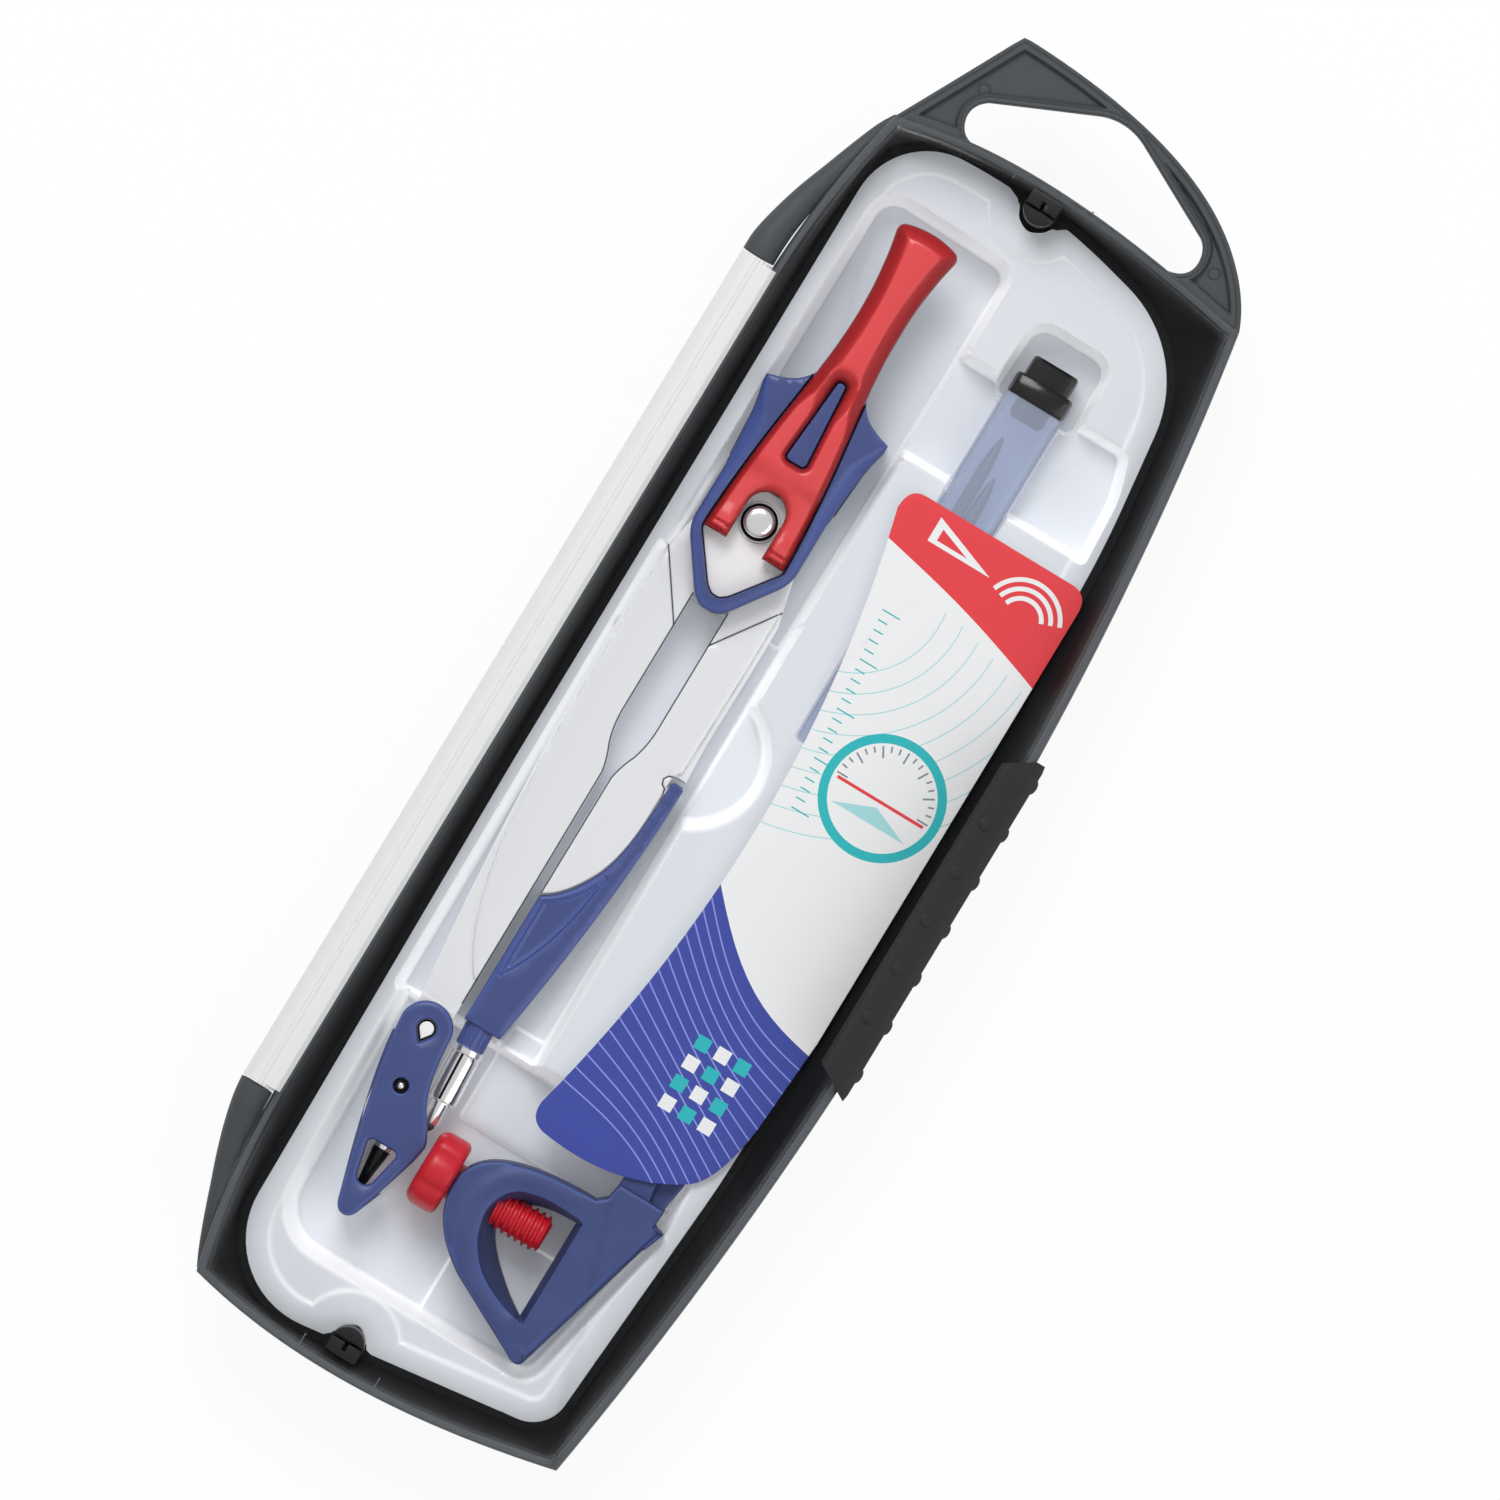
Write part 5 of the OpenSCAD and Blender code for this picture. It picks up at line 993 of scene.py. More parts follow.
class CASE_OT_compass(Operator):
    """Builds the compass: head, lever, legs, guard, arm and collet"""
    bl_idname = "case.compass"
    bl_label = "Compass"

    def execute(self, context):
        # satin ABS moulding: navy, with painted highlight that makes its bevels paler and painted shade that
        # darkens its walls
        blue = material("moulded_navy_plastic_satin_painted_shading", props().compass_blue, 0.36, level=0.45,
                        slopes=((0.1, 0.44, 0), (0.6, 1.33, 0), (0.86, 1.6, 0), (0.995, 1, 0)))
        # the same in red: clear red on its crown with a faint painted highlight, and painted shade that deepens
        # the red along its sides
        red = material("moulded_red_plastic_satin_painted_shading", props().lever_red, 0.3, level=0.5,
                       slopes=((0.2, 0.32, 0), (0.62, 0.49, 0), (0.88, 0.82, 0), (0.975, 1.04, 0.028)))
        # die-cast zinc under silver paint: pale and satin, hardly metallic, lifted by a painted glow
        silver = material("zinc_painted_silver_satin", props().leg_silver, 0.34, metal=0.1, level=0.5,
                          glow=0.12)
        # the same casting in a whiter paint, for the small plates, with a faint painted glow
        pale = material("zinc_painted_pale_satin", "#f2f0f1", 0.35, level=0.5, glow=0.06)
        # chromed steel: bright, with soft streaks along its turned faces and a faint painted glow
        chrome = material("steel_chromed_polished", "#f4f4f5", 0.18, metal=1.0, glow=0.07)
        # plastic down in a gap, painted black as the shade there, without shine
        gap = material("moulded_plastic_in_shade", "#08090b", 0.7, level=0.1)
        self.head(blue)
        self.pivot(pale, chrome, gap)
        self.lever(red)
        self.legs(silver)
        self.guard(blue, chrome, gap, pale)
        self.holder(chrome, pale)
        self.arm(blue)
        self.collet(chrome, gap)
        return {"FINISHED"}

    def head(self, blue):
        """Two covers: the front one has a channel for the lever and a seat for the plate."""
        edge, seam = props().edge, 6.8
        channel, seat = ring(refine(LEVER, 0.4), -0.3), ring(refine(PLATE, 0.4), -0.3)

        def bevel(x, y, d, z):
            """A flat bevel round the outside that is widest beside the lever and runs out at the wing tips."""
            heights, runs = (-15, -6, 2, 5.5, 13.4, 17.5, 19.6), (0.9, 0.9, 1.2, 2.0, 2.4, 1.3, 0.4)
            return z - 0.75 * np.maximum(np.interp(y - RIVET[1], heights, runs) - d, 0)

        rivet_hole, hub_room = [circle(*RIVET, RIVET_HOLE)], [circle(*RIVET, HUB_R + 0.4)]
        front = Piece()
        slab(front, SHIELD, SHIELD_Z, 9.7, cuts=rivet_hole, edge=edge, low=0.2,
             wells=[(channel, CHANNEL_Z, 0.12), (seat, 10.4, 0.12)], shape=bevel, step=0.35, grid=0.8)
        # the pad that fills the lever's slot
        slab(front, ring(refine(LEVER_SLOT, 0.3), 0.22), 15.2, 10.9, edge=0.25, low=0, step=0.4, grid=1.5)
        slab(front, HANDLE, 10.6, seam, edge=0.6, low=0, step=0.5, grid=2)
        slab(front, BRIDGE, 9.8, seam, cuts=hub_room, edge=0, low=0, step=0.5, grid=2)
        front.make("head_front_cover", "compass", [blue], ["head_front"], "blue")
        back = Piece()
        slab(back, SHIELD, 3.9, 2.9, cuts=rivet_hole, edge=0, low=0.6, step=0.5, grid=2)
        slab(back, BRIDGE, seam, 3.8, cuts=hub_room, edge=0, low=0, step=0.5, grid=2)
        slab(back, HANDLE, seam, 3.9, edge=0, low=0.6, step=0.5, grid=2)
        back.make("head_back_cover", "compass", [blue], ["head_back"], "blue")

    def pivot(self, pale, chrome, gap):
        """The plate with its ring, the domed rivet in a collar painted dark as shade, and the pins of lever and
        arm.
        """
        plate = Piece()
        slab(plate, PLATE, PLATE_Z, 10.45, cuts=[circle(*RIVET, 3.15)], edge=0.15, low=0, step=0.4, grid=2)
        slab(plate, circle(*RIVET, 3.1, 48), 11.25, 10.9, cuts=[circle(*RIVET, 2.8, 40)], edge=0.1, low=0,
             step=0.4, grid=2)
        plate.make("head_plate_pale", "compass", [pale], ["head_plate"], "plate")
        rivet, centre, dome_r, dome_z = Piece(), (*RIVET, 0), 2.36, 13.3
        collar = [(1.5, 3.1), (1.5, 10.9), (2.78, 10.95), (2.78, 11.5), (2.42, 11.6), (2.42, 13.25),
                  (2.2, dome_z)]
        lathe(rivet, collar, centre, slot=1)
        # the dome's radius falls with the square root of the cosine, so that its shoulder stays full
        dome = [(dome_r, 13.2)] + [(dome_r * math.cos(a) ** 0.5, dome_z + 0.85 * math.sin(a))
                                   for a in np.radians((6, 16, 28, 40, 52, 64, 74, 84))]
        lathe(rivet, dome, centre, slot=0, n=64)
        rivet.make("head_rivet_dome", "compass", [chrome, gap], ["head_rivet"], "chrome")
        pins = Piece()
        for side in (-1, 1):
            lathe(pins, [(0.5, 7.35), (0.5, 8.0)], (RIVET[0], RIVET[1] - 2.7, 13.0), (side, 0, 0), n=20)
        pins.make("lever_pin_ends", "compass", [chrome], ["lever_pins"], "steel")
        pin = Piece()
        lathe(pin, [(0.7, 4.2), (0.7, 7.6)], (*ARM_PIN, 0), n=24)
        pin.make("arm_pin_core", "lead_leg", [chrome], ["arm_pin"], "steel")

    def lever(self, red):
        """Stop lever: its top is crowned across, bevelled along its sides and dished above the notch."""

        def crown(x, y, d, z):
            """u runs across and v along from the rivet. The side bevel falls by a power of the way out and
            deepens up the handle; the dish eases in below v = 9.5; the foot rolls over in a quarter round
            behind a bell-shaped crease; the tip slopes; and the whole is crowned by the square of u."""
            u, v = x - RIVET[0], y - RIVET[1]
            high = ease((v - 16) / 8)
            run, fall = 0.9 + 1.4 * high, 0.8 + 1.1 * high
            bevel = fall * (1 - np.clip(d / run, 0, 1)) ** 1.25 * (v > -4.2)
            slot_d = np.maximum(0, 1 - np.abs(inwards(np.stack([x, y], 1), LEVER_SLOT)) / 0.8)
            dish = 0.9 * ease((9.5 - v) / 5) * (1 - 0.35 * ease((1 - v) / 3))
            foot = 1.5 * (1 - np.sqrt(np.clip(1 - (np.clip(-3.0 - v, 0, 1.5) / 1.7) ** 2, 0, 1)))
            crease = 0.28 * np.exp(-((v + 2.85) / 0.17) ** 2)
            tip = 0.95 * np.clip(v - 48.1 - 0.03 * u * u, 0, 2)
            return z - np.maximum(bevel, tip) - 0.25 * slot_d**2 - dish - foot - crease - 0.02 * u * u

        across = np.arange(-6.6, 6.7, 0.4)
        lines = [at(np.stack([across, np.full(len(across), v)], 1))
                 for v in (-2.4, -2.65, -2.78, -2.9, -3.1, -3.4, -4.0)]
        lines += offsets(refine(LEVER, 0.5), 0.4, 0.7, 0.9, 1.1, 1.4, 1.7, 2.0, 2.25)
        lines += offsets(refine(LEVER_SLOT, 0.4), -0.15, -0.35, -0.6, -0.85)
        piece = Piece()
        slab(piece, LEVER, 16.2, 12.25, cuts=[LEVER_NOTCH, LEVER_SLOT], edge=0.3, low=0.3, shape=crown,
             step=0.45, grid=0.9, extra=lines)
        piece.make("stop_lever_red", "lever", [red], ["stop_lever"], "red", 42)

    def leg(self, outline, face, hub, side, grooves):
        """One leg: its hub between two heights, its full outline a step lower, the raised face inside that
        with fine grooves painted dark as shade, and a line of painted shade where the inner edge rolls over.
        side is -1 left and 1 right."""
        piece, face = Piece(), at(face)
        foot, top = hub
        slab(piece, at(circle(0, 0, HUB_R, 60)), top, foot, cuts=[at(circle(0, 0, RIVET_HOLE))], edge=0.1,
             low=0.1, step=0.6, grid=3)

        def lines(x, y, d, z):
            """The face stands 1 mm higher with a soft shoulder, and each groove is a bell-shaped cut."""
            p = np.stack([x, y], 1)
            deep = sum(np.exp(-(near(p, g) / 0.13) ** 2) for g in grooves)
            inside = inwards(p, face)
            shoulder = 0.18 * (1 - np.clip((inside - 0.2) / 0.5, 0, 1)) * (inside > 0)
            return z + 1.0 * ease((inside + 0.02) / 0.2) - 0.32 * deep - shoulder

        extra = offsets(refine(face, 0.5), -0.1, 0, 0.06, 0.12, 0.2, 0.4, 0.7)
        extra += [line for g in grooves for line in beside(g, (-0.28, -0.14, 0, 0.14, 0.28))]
        inner_edge = at(INNER_EDGE * [-side, 1]) + (side * 0.13, 0)
        slab(piece, at(outline), LEG_TOP - 1.0, LEGS_Z, cuts=[at(circle(0, 0, HUB_R + 0.1, 60))], edge=0.3,
             low=0.3, shape=lines, step=0.45, grid=1.5, extra=extra,
             paint=[(stroke(g, 0.22), 1) for g in [*grooves, inner_edge]])
        web = [(2.9, -6, 0), (7, -4, 0.5), (9.4, -8, 0), (9.8, -12, 0), (2.9, -12, 0)]
        slab(piece, at(rounded([(side * x, y, r) for x, y, r in web], 4)), top - 0.4, foot, edge=0, low=0,
             step=0.8, grid=3)
        return piece

    def legs(self, silver):
        """Both legs, the left one with its backing plate and boss under the guard, the right one with its
        pivot boss under the arm."""
        # silver paint down in a groove and along the leg's inner edge, painted dark grey as the shade there
        shade = material("zinc_silver_groove_painted_shade", "#55575c", 0.5)
        left = self.leg(LEG_LEFT, FACE_LEFT, (LEGS_Z, 6.65), -1, [at(CHEVRON)])
        backing = ring(refine(GUARD_OUT, 0.6), 0.35) + [0, -0.25]
        slab(left, backing, 4.7, 3.8, edge=0.2, low=0.2, step=0.6, grid=3)
        boss = [[-1.5, -13.5], [5.4, -13.5], [5.4, -9.8], [2.85, -7.2], [2.85, 4.2], [-3.2, 4.2], [-3.2, -2]]
        slab(left, at(boss, GUARD), 9.2, LEGS_Z, edge=0.2, low=0, step=0.8, grid=3)
        left.make("needle_leg_silver", "needle_leg", [silver, shade], ["needle_leg"], "silver")
        right = self.leg(LEG_RIGHT, FACE_RIGHT, (6.95, LEG_TOP), 1, [at(CHEVRON * MIRROR), HOOK])
        slab(right, circle(*ARM_PIN, 2.0), 4.9, LEGS_Z, edge=0.1, low=0.2, step=0.5, grid=2)
        right.make("lead_leg_silver", "lead_leg", [silver, shade], ["lead_leg"], "silver")

    def guard(self, blue, chrome, gap, pale):
        """Needle guard: a lid with a window, on walls that are open to the right, with the teardrop plate
        over its rivet and the detent stud."""
        tear, stud = refine(TEAR, 0.3), (*GUARD_STUD, 0)

        def shell(x, y, d, z):
            """The rim is rounded and the skin swells a little round the stud's ring."""
            swell = np.exp(-((np.hypot(x - stud[0], y - stud[1]) - 1.35) / 0.2) ** 2)
            return z + 0.12 * swell - 0.35 * (1 - np.clip(d / 0.9, 0, 1)) ** 2

        lines = [circle(*GUARD_STUD, r, 24) for r in (1.2, 1.35, 1.5, 1.75)]
        lines += offsets(refine(GUARD_OUT, 0.5), 0.6, 0.9)
        piece = Piece()
        cuts = [GUARD_WINDOW, ring(tear, -0.38), circle(*GUARD_STUD, 1.08, 24)]
        slab(piece, GUARD_OUT, GUARD_TOP, 9.9, cuts=cuts, edge=0.4, low=0, shape=shell, step=0.4, grid=1.4,
             extra=lines)
        slab(piece, GUARD_WALL, 10, GUARD_Z, edge=0, low=0.3, step=0.5, grid=2)
        # collar painted dark as the shade round the stud, then the bright stud in the middle of it
        lathe(piece, [(1.1, 9.8), (1.1, 11.15), (1.0, 11.3), (0.62, 11.1)], stud, slot=2, n=28)
        lathe(piece, [(0.55, 9.8), (0.55, 11.3), (0.4, 11.5), (0.2, 11.58), (0.05, 11.6)], stud, slot=1, n=24)
        # pale teardrop plate on a bed painted dark as the shade round its edge
        slab(piece, TEAR, 11.4, 10.7, edge=0.2, low=0, step=0.25, grid=1, slot=3)
        slab(piece, ring(tear, -0.3), 10.7, 10.3, edge=0, low=0, step=0.3, grid=1, slot=2)
        piece.make("needle_guard_blue", "guard", [blue, chrome, gap, pale], ["needle_guard", "guard_stud"],
                   "blue")
        rivet = Piece()
        lathe(rivet, [(1.05, 3.8), (1.05, 10.2)], (*GUARD, 0), n=32)
        rivet.make("guard_rivet_pin", "needle_leg", [chrome], ["guard_rivet"], "chrome")

    def holder(self, chrome, pale):
        """Needle holder: a bright sleeve, a cone painted dark as the dark reflection it shows, and the needle,
        all along -y, with a pale plate below.
        """
        # the cone's steel, painted dark as the dark reflection it shows, and glossy
        dark = material("steel_cone_painted_dark_reflection", "#16171a", 0.25, metal=0.5)
        x, z, down = RIVET[0] + 0.2, 7.1, (0, -1, 0)
        start, needle = (x, GUARD[1] - 11, z), (x, GUARD[1] - 24.8, z)
        holder = Piece()
        lathe(holder, [(1.55, 0), (1.58, 7.6), (1.5, 7.8)], start, down, slot=0, n=40)
        lathe(holder, [(1.45, 7.8), (1.35, 8.4), (0.72, 13.4), (0.5, 13.8)], start, down, slot=1, n=40)
        lathe(holder, [(0.5, 0), (0.48, 0.6), (0.05, 2.2)], needle, down, slot=0, n=24)
        slab(holder, at([[1.5, -17.6], [4.2, -17.6], [3.6, -24.9], [2.6, -24.9]], GUARD), 6.2, 5.8, edge=0,
             low=0, step=1, grid=2, slot=2)
        holder.make("needle_and_holder", "needle_leg", [chrome, dark, pale], ["needle_holder", "needle"],
                    "chrome")

    def arm(self, blue):
        """Lower arm with its leaf-shaped recess, and the fluted neck of the collet."""
        leaf = refine(at(LEAF), 0.4)

        def crown(x, y, d, z):
            """The leaf is a shallow recess in a bell-shaped groove, and the rim falls by the square of the
            way out."""
            depth = inwards(np.stack([x, y], 1), leaf)
            groove = 0.3 * np.exp(-(depth / 0.16) ** 2)
            return z - 0.45 * ease(depth / 0.8) - groove - 0.5 * (1 - np.clip(d / 1.3, 0, 1)) ** 2

        piece, n = Piece(), 60
        slab(piece, at(ARM), LEG_TOP + 0.2, LEGS_Z, edge=0.3, low=0.3, shape=crown, step=0.4, grid=1.3,
             extra=offsets(leaf, -0.35, -0.16, 0, 0.16, 0.35, 0.6, 0.9))
        t = np.linspace(0, 2 * np.pi, n, endpoint=False)
        r = 2.3 - 0.14 * (np.cos(10 * t) > 0.4)
        neck = [np.stack([r * k * np.cos(t), r * k * np.sin(t), np.full(n, h)], 1)
                for k, h in ((1, -0.5), (1, 0.1), (1, 3.1), (0.93, 3.5))]
        rings(piece, neck, place=frame_at(COLLET, COLLET_AXIS))
        piece.make("lead_arm_blue", "lead_arm", [blue], ["lead_arm"], "blue", 36)

    def collet(self, chrome, gap):
        """Collet: a collar, a core painted dark as the shade between the flutes, with bright strips of uneven
        width round it, a nose and the lead.
        """
        neck = frame_at(COLLET, COLLET_AXIS)
        holder = Piece()
        for profile, slot, n in (([(2.0, 3.3), (2.44, 3.55), (2.44, 4.4), (2.3, 4.55)], 0, 48),
                                 ([(2.1, 4.4), (2.1, 12.1)], 1, 40),
                                 ([(1.35, 12), (1.35, 15.6), (1.2, 16), (1.0, 16.1)], 0, 32)):
            lathe(holder, profile, COLLET, COLLET_AXIS, slot=slot, n=n)
        outside = ((2.3, 4.5), (2.42, 5.2), (2.42, 9.5), (2.4, 11.6), (2.25, 12.2), (1.8, 12.5), (1.4, 12.5))
        strip = (*outside, (2.0, 12.5), (2.0, 4.5))
        for middle, half in ((-150, 17), (-112, 14), (-75, 15), (-42, 13), (-8, 16), (30, 17), (75, 20),
                             (125, 20), (172, 17)):
            a = np.radians(np.linspace(middle - half, middle + half, 7))
            shell = [np.stack([r * np.cos(a), r * np.sin(a), np.full(7, h)], 1) for r, h in strip]
            rings(holder, shell + shell[:1], closed=False, caps=False, place=neck)
            for side in (0, -1):
                cover(holder, neck(np.array([v[side] for v in shell])), side == -1)
        holder.make("lead_collet_chromed", "lead_arm", [chrome, gap], ["collet_collar", "lead_collet"],
                    "chrome")
        # graphite: dark grey with a faint metal sheen
        graphite = material("graphite_lead_satin", "#4a4c50", 0.45, metal=0.3)
        lead = Piece()
        lathe(lead, [(0.97, -5), (0.97, 16.6), (0.15, 17.6)], COLLET, COLLET_AXIS, n=32)
        lead.make("compass_lead_graphite", "lead_arm", [graphite], ["compass_lead"], "lead")


class CASE_OT_tube(Operator):
    """Builds the lead tube, its cap and the spare leads"""
    bl_idname = "case.tube"
    bl_label = "Lead tube"

    def execute(self, context):
        # clear polystyrene with a breath of blue, which its own walls make milky; the milky haze glows a little
        # as painted light
        shell = clear("clear_blue_polystyrene_gloss", "#f4f7fd", 0.4, 0.08, 0.2, "#d3dcf2", 0.25)
        # polished black plastic
        black = material("moulded_black_plastic_gloss", "#0b0b0c", 0.22, level=0.5)
        # graphite behind the tube's wall: a paler grey
        graphite = material("graphite_spare_lead_satin", "#55575c", 0.4, metal=0.3)

        def box(w, h, c):
            """Section of the tube: w wide, h high, with corners rounded by c."""
            out, low, high = w / 2, TUBE_Z - h / 2, TUBE_Z + h / 2
            return rounded([(-out, low, c), (out, low, c), (out, high, c), (-out, high, c)], 3) + [TUBE_X, 0]

        def skin(piece, *stations, **more):
            """Surface through sections, each (section, y, share of its full size)."""
            middle = np.array([TUBE_X, TUBE_Z])
            loops = []
            for section, y, k in stations:
                x, z = ((section - middle) * k + middle).T
                loops.append(np.stack([x, np.full(len(x), y), z], 1))
            rings(piece, loops, **more)

        outer, inner = box(9.5, 9, 1.5), box(8.1, 7.6, 0.9)
        piece, foot = Piece(), TUBE_FOOT
        skin(piece, (outer, TUBE_Y, 1), (outer, foot + 0.7, 1), (outer, foot + 0.2, 0.97), (outer, foot, 0.9),
             caps=False)
        skin(piece, (inner, foot + 1.3, 0.9), (inner, foot + 1.7, 1), (inner, TUBE_Y, 1), caps=False)
        skin(piece, (inner, TUBE_Y, 1), (outer, TUBE_Y, 1), caps=False)
        skin(piece, (outer, foot, 0.9), (outer, foot, 0.01), caps=False)
        piece.make("lead_tube_clear", "tube", [shell], ["lead_tube"], "tube", 30)
        wide, narrow, plug = box(9.5, 9, 1.4), box(7.6, 7.6, 1.2), box(5.6, 5.2, 0.8)
        cap = Piece()
        skin(cap, (wide, 68.9, 0.94), (wide, 68.5, 1), (wide, 65.9, 1), (wide, 65.55, 0.96))
        skin(cap, (narrow, 72.2, 0.92), (narrow, 71.8, 1), (narrow, 68.4, 1))
        skin(cap, (plug, 65.7, 1), (plug, 63.3, 1), (plug, 62.6, 0.8))
        cap.make("lead_tube_cap", "cap", [black], ["lead_cap"], "cap", 35)
        leads = Piece()
        for x, tip in ((-1.5, 59.3), (0.6, 53.4)):
            profile = [(1, 7.1), (1, tip - 5.5), (0.72, tip - 2.4), (0.35, tip - 0.6), (0.1, tip)]
            lathe(leads, profile, (TUBE_X + x, 0, 5.2), (0, 1, 0), n=28)
        leads.make("spare_leads_graphite", "tube", [graphite], ["spare_leads"], "lead")
        return {"FINISHED"}


class CASE_OT_adaptor(Operator):
    """Builds the pen adaptor and its thumbscrew"""
    bl_idname = "case.adaptor"
    bl_label = "Pen adaptor"

    def execute(self, context):
        # matt ABS: a darker navy, faintly blotched, with painted highlight on its bevels and painted shade on
        # its steepest walls
        navy = material("moulded_navy_plastic_matt_painted_shading", props().adaptor_navy, 0.5, level=0.4, grain=(0.6, 0.03),
                        vary=(4, "#4a5a92"),
                        slopes=((0.2, 0.39, 0), (0.55, 0.79, 0), (0.8, 1.87, 0.02), (0.985, 0.95, 0)))
        self.frame(navy)
        self.screw()
        return {"FINISHED"}

    def frame(self, navy):
        """D-shaped frame round its window, with its stem and barb."""
        bow, (start, end) = refine(BOW, 0.5), ADAPTOR_EDGE

        def carved(x, y, d, z):
            """The window's sides slope in, the bow is crowned, a bevel follows the straight right edge, and
            a fine ridge runs to the tip."""
            p = np.stack([x, y], 1)
            into = inwards(p, bow)
            ridge = near(p, [[14.4, -90], [17.7, -94.6]])
            left = ease((14.5 - x) / 3)
            z = z - 1.1 * left * np.abs(np.clip(-into, 0, 5) / 2.6 - 0.75) ** 2.2
            z = z - 0.72 * np.maximum(1.7 - near(p, ADAPTOR_EDGE), 0) * (y < -68.3)
            return z - 2.9 * np.maximum(into, 0) + 0.3 * np.exp(-(ridge / 0.22) ** 2)

        along = start + (end - start) * np.linspace(0, 1, 60)[:, None]
        lines = offsets(bow, -2.4, -1.6, -0.8, -0.3, -0.05, 0.05, 0.6, 1.2)
        lines += [along - [k, -0.25 * k] for k in (0.5, 0.9, 1.3, 1.65, 1.8)]
        piece = Piece()
        slab(piece, ADAPTOR, 14.3, 4.3, cuts=[WINDOW], edge=0.7, low=0.6, shape=carved, step=0.4, grid=1.0,
             extra=lines)

        def stem(x, y, d, z):
            """The neck rises to the frame's face, and a curved step leaves its right part lower."""
            curve = np.interp(y, STEP_Y, STEP_X)
            z = z - 1.6 * ease((x - curve) / 0.5) * (y < -60)
            return z + 2.5 * ease((-66.5 - y) / 2.4) * (x < curve + 0.4)

        y = np.linspace(-69, -60.2, 30)
        lines = [np.stack([np.interp(y, STEP_Y, STEP_X) + k, y], 1)
                 for k in (-0.3, 0, 0.12, 0.25, 0.38, 0.5, 0.8)]
        slab(piece, STEM, 11.75, 6.8, edge=0.5, low=0.6, shape=stem, step=0.6, grid=1.0, extra=lines)
        slab(piece, BARB, 13.4, 6.9, edge=0.3, low=0, step=0.5, grid=1)
        piece.make("pen_adaptor_frame", "adaptor", [navy], ["adaptor_frame"], "navy", 30)

    def screw(self):
        """Thumbscrew: a six-lobed knob whose radius swells by a power of a sine, and a threaded shank."""
        # glossy red plastic with soft highlights on its lobes
        red = material("moulded_red_plastic_thumbscrew", props().screw_red, 0.34, level=0.45)
        piece, place = Piece(), frame_at(SCREW, (1, 0, 0))
        n = 96
        t = np.linspace(0, 2 * np.pi, n, endpoint=False)
        lobes = 0.6 * (np.abs(np.sin(3 * t + 0.35)) ** 0.6 - 0.85)
        profile = [(KNOB_R - 1.7 * (1 - math.sin(a)), -5.0 + 1.7 * (1 - math.cos(a)))
                   for a in np.radians(np.linspace(0, 90, 7))]
        profile += [(KNOB_R - 1.1 * (1 - math.cos(a)), -0.85 + 1.1 * math.sin(a))
                    for a in np.radians(np.linspace(0, 90, 6))]
        skin = []
        for r, h in profile:
            out = r + lobes * (r / 6) ** 3
            skin.append(np.stack([out * np.cos(t), out * np.sin(t), np.full(n, h)], 1))
        rings(piece, skin[::-1], place=place)
        rings(piece, self.thread(), place=place)
        piece.make("thumbscrew_red", "screw", [red], ["thumbscrew"], "screw", 40)

    def thread(self):
        """Shank as a grid of height and angle: the crest is a trapezium of the turn, which advances by one
        pitch in a round, the neck is plain, and the end tapers by a square root."""
        n, steps = 48, 260
        h = np.linspace(-0.5, THREAD_END, steps)
        t = np.linspace(0, 2 * np.pi, n, endpoint=False)
        turn = (h[:, None] / THREAD_PITCH - t[None] / (2 * np.pi)) % 1
        crest = np.clip(1.6 - np.abs(turn - 0.5) * 5, 0, 1)
        taper = np.clip((THREAD_END - h) / 0.9, 0, 1)[:, None] ** 0.5
        lead_in = ease((h - 6.2) / 0.8)[:, None]
        r = (2.45 + 0.15 * lead_in + (0.5 * crest - 0.05) * lead_in + 0.4 * (1 - lead_in)) * (0.7 + 0.3 * taper)
        return np.stack([r * np.cos(t), r * np.sin(t), np.repeat(h[:, None], n, 1)], 2)[::-1]


class CASE_OT_trim(Operator):
    """Gives the small CAD nodes that still show their materials"""
    bl_idname = "case.trim"
    bl_label = "Small parts"

    def execute(self, context):
        # natural nylon: matt and ivory
        nylon = material("nylon_natural_matt", "#e4dfd0", 0.5)
        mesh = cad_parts["pivot_washers"].data
        mesh.materials.clear()
        mesh.materials.append(nylon)
        return {"FINISHED"}


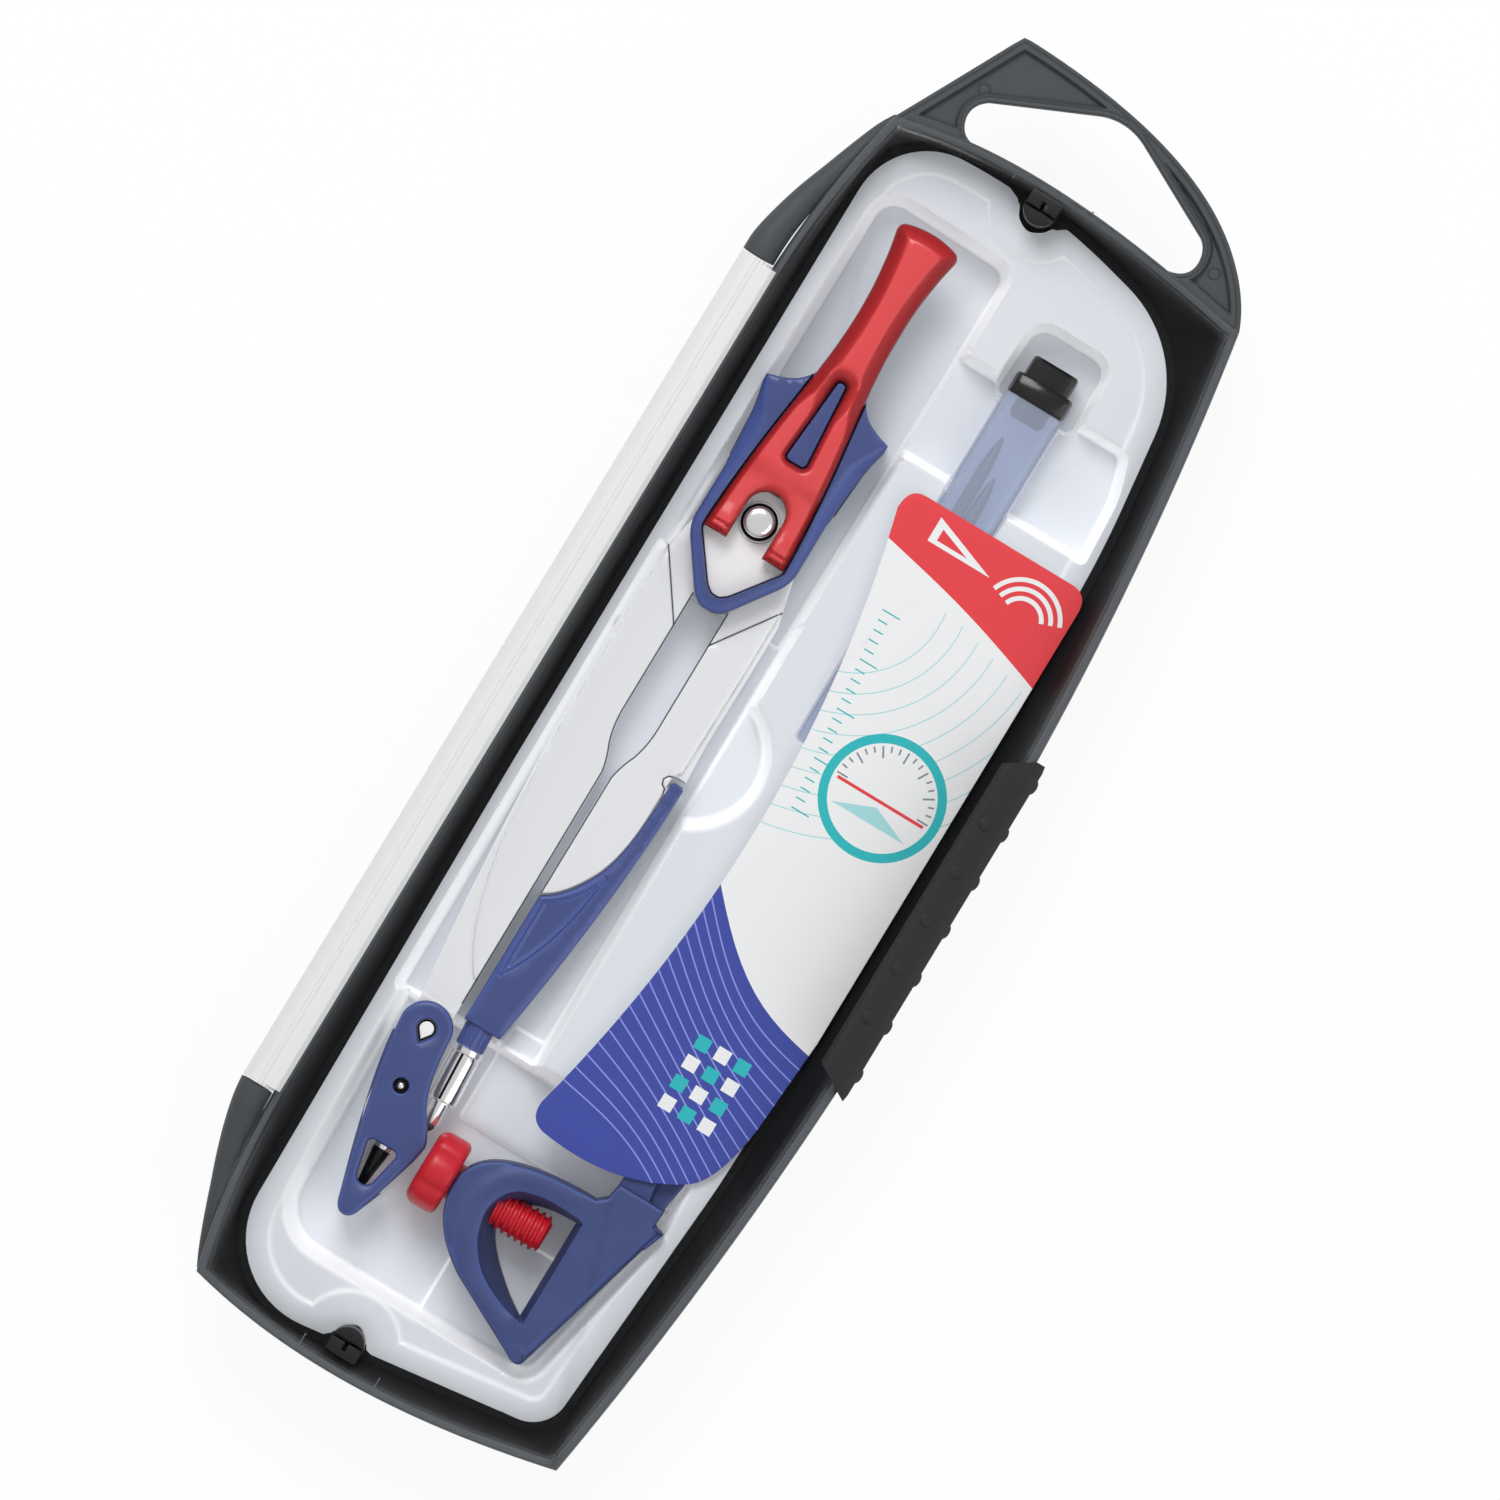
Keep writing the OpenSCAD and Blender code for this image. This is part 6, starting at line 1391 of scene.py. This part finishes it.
class CASE_OT_stage(Operator):
    """Sets the floor, lights, world and camera"""
    bl_idname = "case.stage"
    bl_label = "Stage"

    def execute(self, context):
        context.scene.view_settings.view_transform = "Standard"
        self.floor(context.scene)
        self.world(context.scene)
        self.lights(context.scene)
        self.camera(context.scene)
        return {"FINISHED"}

    def floor(self, scene):
        """Plain white to the camera with a trace of contact shade, and a plain pale floor to all else."""
        half, z = 3, -0.0003
        mesh = bpy.data.meshes.new("floor")
        corners = oblong(-half, -half, half, half)
        mesh.from_pydata([(x, y, z) for x, y in corners.tolist()], [], [(0, 1, 2, 3)])
        floor = bpy.data.objects.new("floor", mesh)
        scene.collection.objects.link(floor)
        m = empty("plain_pale_floor")
        tree = m.node_tree
        matt = add(tree, "BsdfDiffuse", Color=(0.85, 0.85, 0.85, 1))
        glow = add(tree, "Emission", Color=(1, 1, 1, 1), Strength=1.02)
        share = add(tree, "Math", {"operation": "MULTIPLY"}, i0=self.seen(tree, 1.0), i1=0.9)
        mix = add(tree, "MixShader", Fac=share.outputs[0], i1=matt.outputs[0], i2=glow.outputs[0])
        add(tree, "OutputMaterial", Surface=mix.outputs[0])
        mesh.materials.append(m)

    def world(self, scene):
        """Studio: pale overhead and greyer towards the horizon, but white where the camera sees it."""
        world = bpy.data.worlds.new("studio")
        scene.world = world
        world.use_nodes = True
        tree = world.node_tree
        tree.nodes.clear()
        up = add(tree, "SeparateXYZ", Vector=add(tree, "TexCoord").outputs["Generated"]).outputs["Z"]
        level = add(tree, "MapRange", Value=up, From_Min=0.1, From_Max=0.8, To_Min=0.2, To_Max=0.56)
        # a reflection shows the white backdrop only towards the horizon, and the studio above it
        low = add(tree, "MapRange", Value=up, From_Min=0.05, From_Max=0.3, To_Min=1.0, To_Max=0.0)
        back = add(tree, "Mix", Factor=self.seen(tree, low.outputs[0]), A=level.outputs[0], B=1.0)
        sky = add(tree, "Background", Color=(1, 1, 1, 1), Strength=back.outputs["Result"])
        add(tree, "OutputWorld", Surface=sky.outputs[0])

    def lights(self, scene):
        """A key light and a weaker fill from the other side, both aimed at the case."""
        for name, place, size, power in (("key", (-0.5, 0.75, 1.1), 0.7, props().key),
                                         ("fill", (0.9, -0.2, 0.9), 0.9, props().key * 0.26)):
            light = bpy.data.lights.new(name, "AREA")
            light.size = size
            light.energy = power
            obj = bpy.data.objects.new(name, light)
            obj.location = place
            obj.rotation_euler = (-Vector(place)).to_track_quat("-Z", "Y").to_euler()
            scene.collection.objects.link(obj)

    def camera(self, scene):
        """Long lens straight above, turned, at the distance where half the frame spans the case's length
        to both sides of the middle."""
        lens, sensor, half_frame, lid_z, turn = 300, 36, 0.111, 0.015, 31.2
        camera = bpy.data.cameras.new("camera")
        camera.lens = lens
        camera.sensor_width = sensor
        camera.clip_end = 50
        away = half_frame / (sensor / 2 / lens)
        obj = bpy.data.objects.new("camera", camera)
        turned = Matrix.Rotation(math.radians(turn), 4, "Z")
        obj.matrix_world = Matrix.Translation((0, 0, away + lid_z)) @ turned
        scene.collection.objects.link(obj)
        scene.camera = obj

    def seen(self, tree, glossy):
        """Where a ray shows the white background: camera and transmission rays, and a share of glossy ones."""
        ray, most = add(tree, "LightPath").outputs, {"operation": "MAXIMUM"}
        part = add(tree, "Math", {"operation": "MULTIPLY"}, i0=ray["Is Glossy Ray"], i1=glossy)
        through = add(tree, "Math", most, i0=ray["Is Camera Ray"], i1=ray["Is Transmission Ray"])
        return add(tree, "Math", most, i0=through.outputs[0], i1=part.outputs[0]).outputs[0]


class CASE_PT_panel(Panel):
    """Sidebar panel with the sizes and the build buttons"""
    bl_label = "Drafting instrument case"
    bl_idname = "CASE_PT_panel"
    bl_space_type = "VIEW_3D"
    bl_region_type = "UI"
    bl_category = "Case"

    def draw(self, context):
        for name in CaseProperties.__annotations__:
            self.layout.prop(context.scene.case_props, name)
        for operator in OPERATORS:
            self.layout.operator(operator.bl_idname)


OPERATORS = (CASE_OT_base, CASE_OT_tray, CASE_OT_lid, CASE_OT_card, CASE_OT_compass, CASE_OT_tube,
             CASE_OT_adaptor, CASE_OT_trim, CASE_OT_stage)
CLASSES = (CaseProperties, *OPERATORS, CASE_PT_panel)


def register():
    """Registers the classes and puts the properties on the scene."""
    for c in CLASSES:
        bpy.utils.register_class(c)
    bpy.types.Scene.case_props = PointerProperty(type=CaseProperties)


def unregister():
    """Takes them away again."""
    del bpy.types.Scene.case_props
    for c in reversed(CLASSES):
        bpy.utils.unregister_class(c)


def main():
    """Builds every group in order."""
    register()
    for operator in OPERATORS:
        group, name = operator.bl_idname.split(".")
        getattr(getattr(bpy.ops, group), name)()


if __name__ == "__main__":
    main()
